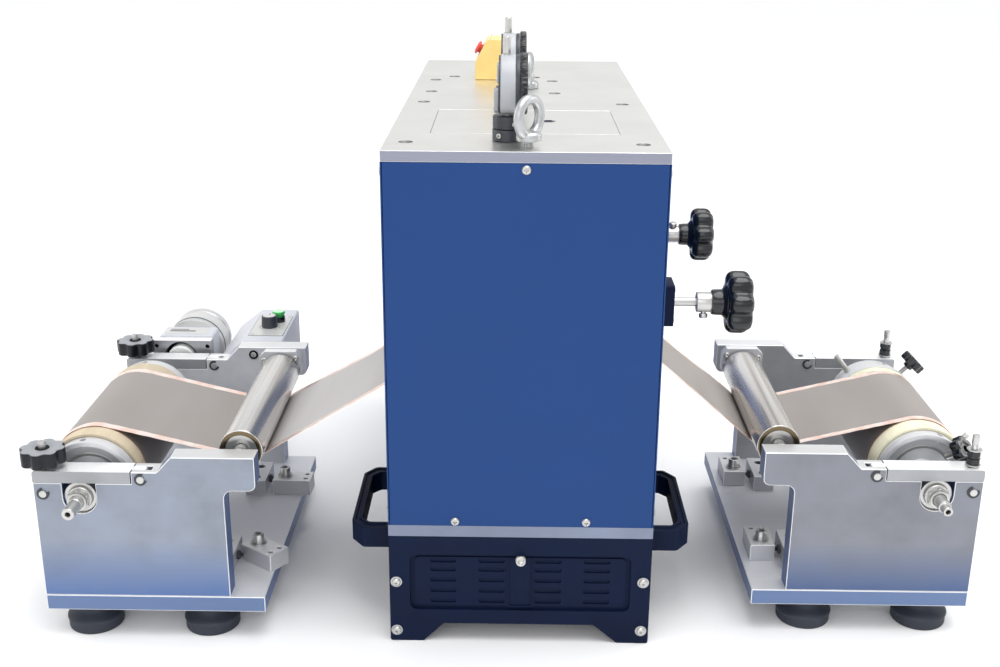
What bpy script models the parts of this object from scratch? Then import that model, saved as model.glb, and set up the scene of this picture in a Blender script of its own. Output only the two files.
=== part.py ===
"""Benchtop roll press between a rewind stand and an unwind stand.

Lengths below are millimetres; the objects are built in metres, +Z up. In the layout frame
x = 0 is the press's mid-plane, y = 0 its near face and z = 0 the bench. Roll and reel axes
run along y; the rewind stand is on the -x side and the unwind stand on the +x side.
"""

import math
from typing import NamedTuple

import bmesh
import bpy
import numpy as np
from mathutils import Matrix, Vector

MM = 0.001
LAYOUT_CENTRE = (-8.4012, 337.5, 0.0)      # layout point that lands on the world origin
GAP = 0.3                                  # clearance between neighbouring pieces

# ---------------------------------------------------------------- press dimensions
PRESS_WIDTH, PRESS_LENGTH, TOP_Z = 280.0, 713.0, 538.6
HALF = PRESS_WIDTH / 2
BASE_HEIGHT, BED_THICK, TOP_THICK, PANEL_THICK = 127.0, 12.8, 10.8, 1.5
BED_TOP = BASE_HEIGHT + GAP + BED_THICK
INNER_LENGTH = (GAP, PRESS_LENGTH - GAP)   # y span between the end faces
PANEL_Z = (BED_TOP + GAP, TOP_Z - TOP_THICK - GAP)

ROLL_RADIUS, NIP = 50.0, 1.1
LOWER_Z = 305.0
UPPER_Z = LOWER_Z + 2 * ROLL_RADIUS + NIP
ROLL_Y = (77.0, 257.0)
ROLL_MID_Y = sum(ROLL_Y) / 2
JOURNAL_RADIUS = 20.0
BEARING_HOLE_RADIUS = JOURNAL_RADIUS + 0.5
FRAME_HALF = 108.0
FRAME_NEAR, FRAME_FAR = (40.0, 70.0), (260.0, 290.0)
TURN_BAR, TURN_BAR_RADIUS = (62.0, LOWER_Z + 40.0), 10.0   # bar turning the web into the nip: x, z

WHEEL_Z = 372.0
WHEEL_Y = {"near": 60.0, "far": 340.0}
GAUGE_X = -17.7
GAUGE_Y = {"near": 63.0, "far": 270.0}

# ---------------------------------------------------------------- stand dimensions
# u runs inward from a stand's outer edge, v runs along y from its near face
STAND_DEPTH, SIDE_THICK = 366.0, 24.0
SIDES = {"near": (0.0, SIDE_THICK), "far": (STAND_DEPTH - SIDE_THICK, STAND_DEPTH)}   # v spans
STAND_BASE_Z = (33.0, 51.0)
STAND_BASE_TOP = STAND_BASE_Z[1]
ARM_Z, LOBE_Z = 215.0, 197.5               # tops of the side plate's inner arm and middle
BAR_Z, BAR_END_U = 184.4, 103.0            # clamp bar: underside, inner end
REEL_U, REEL_Z = 48.0, 167.0
SADDLE_RADIUS = 17.6
GUIDE_U, GUIDE_Z, GUIDE_RADIUS = 213.0, 208.0, 23.5
PIN_U, PIN_Z = 10.0, 172.0
BOLT_SLOT_HALF = 5.6
COLLAR_RADIUS, CORE_RADIUS, FOIL_RADIUS = 48.3, 51.7, 52.4

WEB_THICK = 0.5
WEB_WRAP = math.radians(55)                # how far the web lies on each reel
REEL_WRAP_STEPS, ROLLER_WRAP_STEPS = 10, 6
RUN_STEPS = (1, 5, 1, 5)                   # parts in each run that leads to a roller or the bar


class Stand(NamedTuple):
    name: str
    outer_x: float
    inward: float      # sign of x towards the press
    near_y: float
    reel: tuple        # v: near collar, core start, foil start, foil end, core end, far collar end
    bolt_top: float

    def x(self, u):
        return self.outer_x + self.inward * u

    def y_span(self, start, end):
        return (self.near_y + start, self.near_y + end)

    def points(self, points):
        return [(self.x(u), z) for u, z in points]

    def box(self, u_span, v_span, z_span):
        return box([self.x(u) for u in u_span], self.y_span(*v_span), z_span)

    def outline(self, points, v_span):
        return outline("y", self.points(points), self.y_span(*v_span))

    def rod(self, v_span, centre, radius, segs):
        u, z = centre
        return rod("y", self.y_span(*v_span), (self.x(u), z), radius, segs=segs)

    def turned(self, profile, centre):
        u, z = centre
        return turned("y", [(r, self.near_y + v) for r, v in profile], (self.x(u), z))


REWIND = Stand("rewind", -512.0, 1.0, 0.0, (36.0, 50.0, 69.0, 247.0, 270.0, 290.0), 227.5)
UNWIND = Stand("unwind", 492.0, -1.0, 30.0, (52.0, 65.0, 86.0, 240.0, 266.0, 290.0), 234.0)

# edges of the web: x, near y, far y
WEB_EDGES = (
    (REWIND.x(REEL_U), 70, 246), (REWIND.x(GUIDE_U), 66, 240), (-150, 65, 218),
    (150, 119, 246), (UNWIND.x(GUIDE_U), 109, 261), (UNWIND.x(REEL_U), 117, 268),
)

# name: (base colour, roughness, metallic)
MATERIALS = {
    "blue_paint": ((0.028, 0.081, 0.258), 0.42, 0.0),
    "black_plastic": ((0.010, 0.012, 0.016), 0.55, 0.0),
    "gloss_black": ((0.008, 0.009, 0.012), 0.18, 0.0),
    "satin_steel": ((0.62, 0.63, 0.64), 0.34, 1.0),
    "aluminium": ((0.60, 0.62, 0.66), 0.36, 1.0),
    "chrome": ((0.55, 0.54, 0.53), 0.10, 1.0),
    "cast_iron": ((0.20, 0.21, 0.23), 0.55, 0.6),
    "yellow_plastic": ((0.90, 0.62, 0.09), 0.35, 0.0),
    "red_plastic": ((0.70, 0.03, 0.02), 0.30, 0.0),
    "green_plastic": ((0.03, 0.62, 0.16), 0.30, 0.0),
    "core_board": ((0.66, 0.54, 0.33), 0.75, 0.0),
    "foil": ((0.40, 0.37, 0.35), 0.55, 0.2),
    "grey_metal": ((0.33, 0.35, 0.38), 0.40, 0.4),
}

# ---------------------------------------------------------------- scene
for old in list(bpy.data.objects):
    bpy.data.objects.remove(old, do_unlink=True)

machine = bpy.data.collections.new("roll_press")
cutters = bpy.data.collections.new("cutters")
bpy.context.scene.collection.children.link(machine)
bpy.context.scene.collection.children.link(cutters)


def material(name):
    found = bpy.data.materials.get(name)
    if found:
        return found
    colour, roughness, metallic = MATERIALS[name]
    made = bpy.data.materials.new(name)
    made.use_nodes = True
    inputs = made.node_tree.nodes["Principled BSDF"].inputs
    inputs["Base Color"].default_value = (*colour, 1.0)
    inputs["Roughness"].default_value = roughness
    inputs["Metallic"].default_value = metallic
    return made


def new_object(name, data, collection):
    obj = bpy.data.objects.new(name, data)
    collection.objects.link(obj)
    return obj


def part(name, mesh, material_name, origin=(0.0, 0.0, 0.0)):
    """Makes the finished object, with its origin at a layout point."""
    mesh.transform(Matrix.Translation(-Vector(origin) * MM))
    mesh.name = name
    mesh.materials.clear()
    mesh.materials.append(material(material_name))
    obj = new_object(name, mesh, machine)
    obj.location = (Vector(origin) - Vector(LAYOUT_CENTRE)) * MM


# ---------------------------------------------------------------- mesh tools
def as_bmesh(mesh):
    bm = bmesh.new()
    bm.from_mesh(mesh)
    return bm


def from_bmesh(bm):
    bmesh.ops.recalc_face_normals(bm, faces=bm.faces)
    mesh = bpy.data.meshes.new("shape")
    bm.to_mesh(mesh)
    bm.free()
    return mesh


def baked(obj):
    """The mesh an object shows with its modifiers; the object itself is removed."""
    bpy.context.view_layer.update()
    graph = bpy.context.evaluated_depsgraph_get()
    mesh = bpy.data.meshes.new_from_object(obj.evaluated_get(graph))
    bpy.data.objects.remove(obj, do_unlink=True)
    return mesh


# rotations that carry the z axis onto each axis
FROM_Z = {
    "x": Matrix(((0, 0, 1), (1, 0, 0), (0, 1, 0))).to_4x4(),
    "y": Matrix(((0, 1, 0), (0, 0, 1), (1, 0, 0))).to_4x4(),
    "z": Matrix.Identity(4),
}


def place_on_axis(bm, axis, centre):
    """Lays a shape built about z along an axis; centre is the two other coordinates in order."""
    p, q = centre
    offset = {"x": (0, p, q), "y": (p, 0, q), "z": (p, q, 0)}[axis]
    bmesh.ops.transform(bm, matrix=FROM_Z[axis], verts=bm.verts)
    bmesh.ops.translate(bm, verts=bm.verts, vec=Vector(offset) * MM)


def facing(point, direction):
    """Matrix that carries the origin to a point and +Z to a direction."""
    rotation = Vector(direction).to_track_quat("Z", "Y").to_matrix().to_4x4()
    return Matrix.Translation(Vector(point) * MM) @ rotation


def moved(mesh, matrix):
    mesh.transform(matrix)
    return mesh


def box(*spans):
    """A box from its x, y and z spans; each span's ends may come in either order."""
    spans = [sorted(span) for span in spans]
    bm = bmesh.new()
    bmesh.ops.create_cube(bm, size=1.0)
    for v in bm.verts:
        v.co = Vector([(a + (c + 0.5) * (b - a)) * MM for c, (a, b) in zip(v.co, spans)])
    return from_bmesh(bm)


def rod(axis, span, centre, radius, end_radius=None, segs=24):
    """A cylinder, or a cone if an end radius is given."""
    start, end = span
    end_radius = radius if end_radius is None else end_radius
    bm = bmesh.new()
    bmesh.ops.create_cone(bm, cap_ends=True, segments=segs, radius1=radius * MM,
                          radius2=end_radius * MM, depth=(end - start) * MM)
    bmesh.ops.translate(bm, verts=bm.verts, vec=(0, 0, (start + end) / 2 * MM))
    place_on_axis(bm, axis, centre)
    return from_bmesh(bm)


def rods(axis, centre, table):
    """Coaxial rods; table rows are start, end, start radius, end radius, segments."""
    return [rod(axis, (start, end), centre, r0, r1, segs) for start, end, r0, r1, segs in table]


def spun(points, edges, steps):
    """Spins (radius, position) points about z with a Screw modifier."""
    mesh = bpy.data.meshes.new("profile")
    mesh.from_pydata([(r * MM, 0.0, p * MM) for r, p in points], edges, [])
    obj = new_object("profile_tmp", mesh, cutters)
    spin = obj.modifiers.new("spin", "SCREW")
    spin.axis = "Z"
    spin.steps = spin.render_steps = steps
    spin.use_merge_vertices = True
    spin.merge_threshold = 1e-6
    return as_bmesh(baked(obj))


def turned(axis, profile, centre, segs=32):
    """A turned piece from (radius, position) pairs; a profile clear of the axis is closed."""
    edges = [(i, i + 1) for i in range(len(profile) - 1)]
    if profile[0][0] > 0 or profile[-1][0] > 0:
        edges.append((len(profile) - 1, 0))
    bm = spun(profile, edges, segs)
    bmesh.ops.remove_doubles(bm, verts=bm.verts, dist=1e-6)
    place_on_axis(bm, axis, centre)
    return from_bmesh(bm)


def outline(axis, points, span):
    """A flat outline extruded along an axis: (y, z) points for x, (x, z) for y, (x, y) for z."""
    start, end = span
    curve = bpy.data.curves.new("outline", "CURVE")
    curve.dimensions = "2D"
    curve.fill_mode = "BOTH"
    curve.extrude = (end - start) / 2 * MM
    spline = curve.splines.new("POLY")
    spline.points.add(len(points) - 1)
    for point, (p, q) in zip(spline.points, points):
        point.co = (p * MM, q * MM, 0.0, 1.0)
    spline.use_cyclic_u = True
    bm = as_bmesh(baked(new_object("outline_tmp", curve, cutters)))
    bmesh.ops.remove_doubles(bm, verts=bm.verts, dist=1e-6)
    middle = (start + end) / 2 * MM
    for v in bm.verts:
        p, q, t = v.co
        t += middle
        v.co = Vector({"x": (t, p, q), "y": (p, t, q), "z": (p, q, t)}[axis])
    return from_bmesh(bm)


def combine(mesh, others, operation):
    """Boolean of one mesh with several others in turn, tidied after each step."""
    for other in others:
        body = new_object("body_tmp", mesh, cutters)
        tool = new_object("tool_tmp", other, cutters)
        tool.hide_render = True
        tool.display_type = "WIRE"
        boolean = body.modifiers.new("combine", "BOOLEAN")
        boolean.operation = operation
        boolean.solver = "EXACT"
        boolean.object = tool
        bm = as_bmesh(baked(body))
        bpy.data.objects.remove(tool, do_unlink=True)
        bmesh.ops.remove_doubles(bm, verts=bm.verts, dist=2e-6)
        bmesh.ops.dissolve_limit(bm, angle_limit=0.002, verts=bm.verts, edges=bm.edges)
        bmesh.ops.triangulate(bm, faces=[f for f in bm.faces if len(f.verts) > 4])
        mesh = from_bmesh(bm)
    return mesh


def union(first, *others):
    return combine(first, others, "UNION")


def cut(first, *others):
    return combine(first, others, "DIFFERENCE")


def about(middle, half):
    return (middle - half, middle + half)


def lobed(outer, inner, centre=(0.0, 0.0), lobes=8, points_per_lobe=4):
    """Outline of a lobed hand knob."""
    count = lobes * points_per_lobe
    points = []
    for i in range(count):
        angle = 2 * math.pi * i / count
        r = (outer + inner) / 2 + (outer - inner) / 2 * math.cos(lobes * angle)
        points.append((centre[0] + r * math.cos(angle), centre[1] + r * math.sin(angle)))
    return points


# ---------------------------------------------------------------- press cabinet
def build_base_housing():
    # x, z of the end view, with a raised underside between the feet
    feet = [(-HALF, 0), (-104, 0), (-82, 22), (80, 22), (106, 0), (HALF, 0),
            (HALF, BASE_HEIGHT), (-HALF, BASE_HEIGHT)]
    # x, z of the shallow recess in each end
    recess = [(-117.5, 44), (-112.5, 39), (112.5, 39), (117.5, 44),
              (117.5, 100), (112.5, 105), (-112.5, 105), (-117.5, 100)]
    recess_y, wall = 4.3, 12
    housing = cut(
        outline("y", feet, INNER_LENGTH),
        outline("y", recess, (-5, recess_y)),
        outline("y", recess, (PRESS_LENGTH - recess_y, PRESS_LENGTH + 5)),
        box(about(0, 11.5), (4, 8.3), (44, 103)),              # deeper groove in the near recess
        box(about(0, HALF - wall), (wall, PRESS_LENGTH - wall), (30, BASE_HEIGHT + 5)),
    )
    part("base_housing", housing, "black_plastic")


def build_handle(side, name):
    """A side handle: two arms and a bar, with a thin pad joining the arms at the housing."""
    near_y, far_y, z_span = 47, 204, (88, 112)
    pad_x, pad_thick = HALF + 0.4, 3
    outer = [(pad_x, near_y), (HALF + 33, near_y), (HALF + 47, 66), (HALF + 47, 186),
             (HALF + 34, far_y), (pad_x, far_y)]
    inner = [(HALF - 5, 62), (HALF + 27, 62), (HALF + 36, 72), (HALF + 36, 180),
             (HALF + 27, 190), (HALF - 5, 190)]
    grip = cut(outline("z", [(side * x, y) for x, y in outer], z_span),
               outline("z", [(side * x, y) for x, y in inner], (80, 120)))
    pad = box((side * pad_x, side * (pad_x + pad_thick)), (near_y, far_y), z_span)
    part(name, union(grip, pad), "black_plastic")


def side_panel(side):
    """A side panel with its window."""
    return cut(box((side * (HALF - PANEL_THICK), side * HALF), INNER_LENGTH, PANEL_Z),
               box((side * (HALF - 5), side * (HALF + 5)), (52, 266), (258, 316)))


def build_panels():
    end_x = about(0, HALF - 2.2)
    part("end_panel_near", box(end_x, (0, PANEL_THICK), PANEL_Z), "blue_paint")
    part("end_panel_far", box(end_x, (PRESS_LENGTH - PANEL_THICK, PRESS_LENGTH), PANEL_Z),
         "blue_paint")
    part("side_panel_left", side_panel(-1), "blue_paint")
    # the right panel carries a bored boss for each gap wheel
    bosses = [box((HALF - 1, HALF + 15), about(y, 18), about(WHEEL_Z, 22))
              for y in WHEEL_Y.values()]
    bores = [rod("x", (HALF - 10, HALF + 20), (y, WHEEL_Z), 5.2, segs=16)
             for y in WHEEL_Y.values()]
    part("side_panel_right", cut(union(side_panel(1), *bosses), *bores), "blue_paint")


def build_plates():
    """The bed plate, and the top plate with a hatch sunk in it."""
    across = about(0, HALF)
    bed = box(across, INNER_LENGTH, (BASE_HEIGHT + GAP, BED_TOP))
    part("bed_plate", bed, "satin_steel")
    hatch_half, hatch_y, hatch_depth, fit = 98, (98, 251), 5, 0.4
    top = cut(box(across, (0, PRESS_LENGTH), (TOP_Z - TOP_THICK, TOP_Z)),
              box(about(0, hatch_half), hatch_y, about(TOP_Z, hatch_depth)))
    part("top_plate", top, "satin_steel")
    hatch = box(about(0, hatch_half - fit), (hatch_y[0] + fit, hatch_y[1] - fit),
                (TOP_Z - hatch_depth + GAP, TOP_Z))
    part("top_hatch", hatch, "satin_steel")


# ---------------------------------------------------------------- rolls, frame and drive
def build_roll_frame():
    """Two U-shaped cheeks, the block between them and the turning bar."""
    window_half, window_z, cheek_top = 41.5, LOWER_Z - 20.4, 500
    bottom = BED_TOP + GAP
    cheek = [(-FRAME_HALF, bottom), (FRAME_HALF, bottom), (FRAME_HALF, cheek_top),
             (window_half, cheek_top), (window_half, window_z), (-window_half, window_z),
             (-window_half, cheek_top), (-FRAME_HALF, cheek_top)]
    between = (FRAME_NEAR[1] - 1, FRAME_FAR[0] + 1)
    frame = union(outline("y", cheek, FRAME_NEAR),
                  box(about(0, FRAME_HALF), between, (bottom, 170)),
                  outline("y", cheek, FRAME_FAR),
                  rod("y", between, TURN_BAR, TURN_BAR_RADIUS))
    part("roll_frame", frame, "cast_iron")


def build_roll(name, z, near_end, far_profile):
    """A roll on its journals; far_profile is the (radius, y) rest of the far journal."""
    start, end = ROLL_Y
    profile = [(0, near_end), (JOURNAL_RADIUS, near_end), (JOURNAL_RADIUS, start - 1),
               (ROLL_RADIUS, start), (ROLL_RADIUS, end), (JOURNAL_RADIUS, end + 1), *far_profile]
    part(name, turned("y", profile, (0, z)), "chrome", (0, ROLL_MID_Y, z))


def build_carriage():
    """Two bearing blocks for the upper roll, tied by a bar at the top."""
    top = 484
    blocks = [cut(box(about(0, 41), (start + 1, end - 1), (374, top)),
                  rod("y", bore, (0, UPPER_Z), BEARING_HOLE_RADIUS, segs=32))
              for (start, end), bore in ((FRAME_NEAR, (25, 90)), (FRAME_FAR, (250, 300)))]
    tie = box(about(0, 30), (56, 275), (top - 20, top))
    part("roll_carriage", union(blocks[0], tie, blocks[1]), "cast_iron",
         (0, ROLL_MID_Y, UPPER_Z))


def build_drive():
    gearbox = box(about(0, 60), (346, 430), (245, 365))
    pedestal = box(about(0, 50), (352, 424), (BED_TOP + GAP, 250))
    motor = rod("y", (429, 620), (0, LOWER_Z), 45)
    part("drive_gearmotor", union(gearbox, pedestal, motor), "grey_metal")


def build_gap_wheel(tag, y):
    hub_x = 195
    centre = (y, WHEEL_Z)
    rim = outline("x", lobed(33, 28, centre), (210, 236))
    hub_and_shaft = rods("x", centre, (
        (hub_x, 214, 14, 18, 20),
        (180, hub_x + 1, 10.5, 10.5, 16),
        (112, 182, 4.6, 4.6, 12),
    ))
    part("gap_wheel_" + tag, union(rim, *hub_and_shaft), "gloss_black", (hub_x, *centre))


# ---------------------------------------------------------------- on the top plate
def build_eyebolt(tag, x, y, seat, angle):
    """An upright ring on a round foot; a raised foot stands on a thin post."""
    ring_radius, wire_radius, wire_segs, ring_steps = 17.5, 5, 8, 20
    turns = [2 * math.pi * i / wire_segs for i in range(wire_segs)]
    circle = [(ring_radius + wire_radius * math.cos(a), wire_radius * math.sin(a)) for a in turns]
    bm = spun(circle, [(i, (i + 1) % wire_segs) for i in range(wire_segs)], ring_steps)
    centre = Vector((x, y, seat + ring_radius + wire_radius)) * MM
    upright = Matrix.Rotation(math.radians(90), 4, "X")
    heading = Matrix.Rotation(math.radians(angle), 4, "Z")
    bmesh.ops.transform(bm, matrix=Matrix.Translation(centre) @ heading @ upright, verts=bm.verts)
    eye = union(from_bmesh(bm), rod("z", (seat, seat + 8.5), (x, y), 12.5, segs=20))
    if seat - TOP_Z > 1:
        eye = union(eye, rod("z", (TOP_Z + GAP, seat + 1), (x, y), 5, segs=12))
    part("eyebolt_" + tag, eye, "satin_steel")


def build_estop():
    """The emergency stop box, with its button on the sloping -x face."""
    slope_low, slope_high = (-64, 561), (-49, 589)
    section = [(-64, TOP_Z + GAP), (-6, TOP_Z + GAP), (-6, 588), (-9, 591), (-46, 591),
               slope_high, slope_low]
    slope = math.atan2(slope_high[1] - slope_low[1], slope_high[0] - slope_low[0])
    seat = (-56.2, 530, 575.6)
    on_face = facing(seat, (-math.sin(slope), 0, math.cos(slope)))
    hole = moved(rod("z", (-14, 5), (0, 0), 7.2, segs=20), on_face)
    part("estop_box", cut(outline("y", section, about(seat[1], 28)), hole), "yellow_plastic")
    # radius, height above the face
    profile = [(0, -8), (6.0, -8), (6.0, 3.4), (8.8, 3.4), (8.8, 5.6), (7.0, 6.8), (0, 7.4)]
    button = moved(turned("z", profile, (0, 0), 24), on_face)
    part("estop_button", button, "red_plastic", seat)


def build_gauge(tag, y):
    """A dial gauge facing +x, on a round foot."""
    bezel_z, spindle_z, spindle_x = 594.5, 623.2, GAUGE_X - 1.5
    body = union(rod("x", (-25.6, -9.7), (y, 593.6), 29, segs=32),
                 rod("z", (TOP_Z + GAP, 563.6), (GAUGE_X, y), 15.5),
                 rod("z", (563, 568), (GAUGE_X, y), 6, segs=16),
                 box((-31.7, -25.0), about(y, 7), (567, 589)))
    part("gauge_body_" + tag, body, "grey_metal")
    part("gauge_bezel_" + tag, rod("x", (-9.3, 1.6), (y, bezel_z), 30, segs=36),
         "gloss_black", (-4, y, bezel_z))
    part("gauge_spindle_" + tag, rod("z", (spindle_z, 640), (spindle_x, y), 4, segs=16),
         "satin_steel", (spindle_x, y, spindle_z))


# ---------------------------------------------------------------- stands
def build_stand_base(stand):
    """The base plate with its four feet and the two fixed stop blocks."""
    bottom, top = STAND_BASE_Z
    foot = ((0, 14, 30, 30, 24), (13, 20, 29, 20, 24), (18, bottom + 1, 20, 20, 16))
    pieces = []
    for u in (41.0, 171.0):
        for v in (32.0, 334.0):
            pieces += rods("z", (stand.x(u), stand.near_y + v), foot)
    for v in (46.0, 246.0):
        pieces.append(stand.box((166, 192), (v, v + 58), (top - 1, top + 20)))
    plate = stand.box((0, 237), (0, STAND_DEPTH), STAND_BASE_Z)
    part(stand.name + "_base", union(plate, *pieces), "aluminium")


def guide_stub(stand, tag):
    """The stub that carries one end of the guide roller."""
    guide = (GUIDE_U, GUIDE_Z)
    start, end = SIDES[tag]
    if tag == "near":
        return stand.rod((end - 0.5, end + 9), guide, 14, 20)
    # the far axle has a flange that stands off the side plate; offsets from the guide's axis
    flange = [(-25.5, -16), (-25.5, 18.5), (-19, 25.3), (19.5, 25.3), (25.5, 18.5),
              (25.5, -3), (14, -16)]
    flange = [(GUIDE_U + u, GUIDE_Z + z) for u, z in flange]
    return union(stand.rod((262, 277), guide, 14, 20),
                 stand.outline(flange, (276, 287)),
                 stand.rod((286, start + 0.5), (GUIDE_U, GUIDE_Z - 4), 7, 16))


def build_side(stand, tag):
    """A side plate with its reel saddle, and the clamp bar on top; both slotted for the bolt."""
    v_span = SIDES[tag]
    slot_v = about(sum(v_span) / 2, BOLT_SLOT_HALF)
    bottom, seat_z = STAND_BASE_TOP + GAP, BAR_Z - 0.4
    angles = [math.radians(360 - 180 * i / 10) for i in range(11)]
    saddle = [(REEL_U + SADDLE_RADIUS * math.cos(a), REEL_Z + SADDLE_RADIUS * math.sin(a))
              for a in angles]
    plate = [(0, bottom), (200, bottom), (200, 168), (203, 174), (209, 177), (228, 177),
             (234, 183), (234, ARM_Z), (147, ARM_Z), (131, LOBE_Z), (104, LOBE_Z),
             (104, seat_z), (REEL_U + SADDLE_RADIUS, seat_z), *saddle,
             (REEL_U - SADDLE_RADIUS, seat_z), (0, seat_z)]
    solid = cut(stand.outline(plate, v_span), stand.box((-3, 19), slot_v, (160, 200)))
    part(f"{stand.name}_plate_{tag}", union(solid, guide_stub(stand, tag)), "aluminium")

    bar = [(0, BAR_Z), (BAR_END_U, BAR_Z), (BAR_END_U, LOBE_Z), (4, LOBE_Z), (0, LOBE_Z - 2)]
    bar = cut(stand.outline(bar, v_span), stand.box((-3, 16), slot_v, (180, 200)))
    part(f"{stand.name}_bar_{tag}", bar, "aluminium")


def build_bolt(stand, tag):
    """The swing bolt on its cross pin: nuts on the unwind stand, a knob on the rewind stand."""
    middle = sum(SIDES[tag]) / 2
    centre = (stand.x(PIN_U), stand.near_y + middle)
    steps = [(PIN_Z, stand.bolt_top, 4, 4, 12)]
    if stand is UNWIND:
        steps += [(199.2, 207, 7.5, 7.5, 6), (209.5, 217.5, 7.5, 7.5, 6), (206, 211, 5, 5, 12)]
    pin = stand.rod(about(middle, 5), (PIN_U, PIN_Z), 7, 16)
    part(f"{stand.name}_bolt_{tag}", union(pin, *rods("z", centre, steps)), "satin_steel",
         (*centre, PIN_Z))
    if stand is REWIND:
        knob_z = 203
        knob = union(outline("z", lobed(24.0, 20.0, centre), (knob_z, 220)),
                     rod("z", (199.2, 204), centre, 12, 14, 20))
        knob = cut(knob, rod("z", (190, 245), centre, 4.3, segs=12))
        part("rewind_knob_" + tag, knob, "gloss_black", (*centre, knob_z))


def build_reel(stand):
    """The shaft with two flange collars, the core with its wound foil, and the guide roller."""
    collar0, core0, foil0, foil1, core1, collar1 = stand.reel
    reel = (REEL_U, REEL_Z)
    middle_y = stand.near_y + STAND_DEPTH / 2
    reel_origin = (stand.x(REEL_U), middle_y, REEL_Z)
    end, bore = STAND_DEPTH + 1, COLLAR_RADIUS + GAP
    # all three profiles are radius, v
    shaft = [(0, -38), (6.6, -38), (6.6, -14), (7.5, -14), (7.5, collar0),
             (COLLAR_RADIUS, collar0), (COLLAR_RADIUS, core0 + 14), (14, core0 + 14),
             (14, core1 - 14), (COLLAR_RADIUS, core1 - 14), (COLLAR_RADIUS, collar1),
             (7.5, collar1), (7.5, end), (0, end)]
    part(stand.name + "_shaft", stand.turned(shaft, reel), "aluminium", reel_origin)
    core = [(bore, core0), (CORE_RADIUS, core0), (CORE_RADIUS, foil0), (FOIL_RADIUS, foil0),
            (FOIL_RADIUS, foil1), (CORE_RADIUS, foil1), (CORE_RADIUS, core1), (bore, core1)]
    part(stand.name + "_core", stand.turned(core, reel), "core_board", reel_origin)
    guide = [(14.6, 35), (GUIDE_RADIUS, 35), (GUIDE_RADIUS, 272), (14.6, 272), (14.6, 258),
             (7, 257), (7, 87), (14.6, 86)]
    part(stand.name + "_guide_roller", stand.turned(guide, (GUIDE_U, GUIDE_Z)), "chrome",
         (stand.x(GUIDE_U), middle_y, GUIDE_Z))


def build_swivel_block(name, x, y, angle):
    """An alignment block that swivels about its bored end."""
    block = cut(box((x - 14, x + 34), about(y, 14), (STAND_BASE_TOP + GAP, STAND_BASE_TOP + 20.3)),
                rod("z", (STAND_BASE_TOP - 5, STAND_BASE_TOP + 30), (x, y), 4.4, segs=16))
    pivot = Vector((x, y, 0)) * MM
    swing = Matrix.Rotation(math.radians(angle), 4, "Z")
    block = moved(block, Matrix.Translation(pivot) @ swing @ Matrix.Translation(-pivot))
    part(name, block, "aluminium", (x, y, STAND_BASE_TOP))


def build_rewind_motor():
    """The gearmotor behind the rewind stand's far side, on a bored mounting plate."""
    mount = cut(box((-486.5, -409), (STAND_DEPTH + 10, STAND_DEPTH + 24),
                    (STAND_BASE_TOP + GAP, 211)),
                rod("y", (360, 420), (-449.5, 187.5), 21.8, segs=32))
    motor = union(box((-481, -409), (389.5, 424.5), (150, 214)),
                  rod("y", (424, 482), (-444, 184), 40, segs=32),
                  mount,
                  rod("y", (371, 392), (-449, 186.5), 18, segs=28))
    part("rewind_gearmotor", motor, "grey_metal")


def build_controls():
    """The control box with its speed knob and its collared run button."""
    knob_at, button_at = (-339.5, 424), (-331, 447)
    box_top, knob_z = 215.5, 216.1
    section = [(-396, 150), (-312.5, 150), (-312.5, box_top), (-364, box_top), (-396, 190)]
    case = union(outline("y", section, (STAND_DEPTH + GAP, 500)),
                 rod("z", (214, 223.5), button_at, 8.4, segs=20))
    case = cut(case, rod("z", (209, 220), knob_at, 4.4, segs=16),
               rod("z", (209, 230), button_at, 7.2, segs=20))
    part("control_box", case, "grey_metal")
    knob = rods("z", knob_at, ((knob_z, 231.5, 10.8, 10.2, 24), (210.5, 217, 4, 4, 16)))
    part("speed_knob", union(*knob), "gloss_black", (*knob_at, knob_z))
    button = rods("z", button_at, ((226.7, 231.3, 8.6, 8.6, 24), (212.7, 227.5, 6.8, 6.8, 20)))
    part("run_button", union(*button), "green_plastic", (*button_at, box_top))


def build_lock(tag, seat, direction, reach):
    """A lock knob in a collar of the unwind reel, its stem pointing back from the seat."""
    stem = rods("z", (0, 0), ((-8, -5, 5.4, 6.0, 16), (-reach, -7.5, 3.2, 3.2, 12)))
    knob = union(outline("z", lobed(15.7, 13.4), (-5.5, 5.5)), *stem)
    part("unwind_lock_" + tag, moved(knob, facing(seat, direction)), "gloss_black",
         (UNWIND.x(REEL_U), seat[1], REEL_Z))


# ---------------------------------------------------------------- the foil web
def tangent(start, end):
    """Heading and end points, in x, z, of the straight run between two web stops."""
    (x0, z0), r0, side0 = start
    (x1, z1), r1, side1 = end
    dx, dz = x1 - x0, z1 - z0
    lean = math.asin((side0 * r0 - side1 * r1) / math.hypot(dx, dz))
    heading = math.atan2(dz, dx) - lean
    nx, nz = -math.sin(heading), math.cos(heading)
    return (heading, (x0 + side0 * r0 * nx, z0 + side0 * r0 * nz),
            (x1 + side1 * r1 * nx, z1 + side1 * r1 * nz))


def wrap(stop, heading0, heading1, count):
    """Path points (x, z, heading) around a stop."""
    (x, z), r, side = stop
    headings = [heading0 + (heading1 - heading0) * i / count for i in range(count + 1)]
    return [(x - side * r * math.sin(h), z + side * r * math.cos(h), h) for h in headings]


def straight(line, count):
    """Path points inside a straight run, ends left out."""
    heading, (x0, z0), (x1, z1) = line
    return [(x0 + (x1 - x0) * i / count, z0 + (z1 - z0) * i / count, heading)
            for i in range(1, count)]


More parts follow.
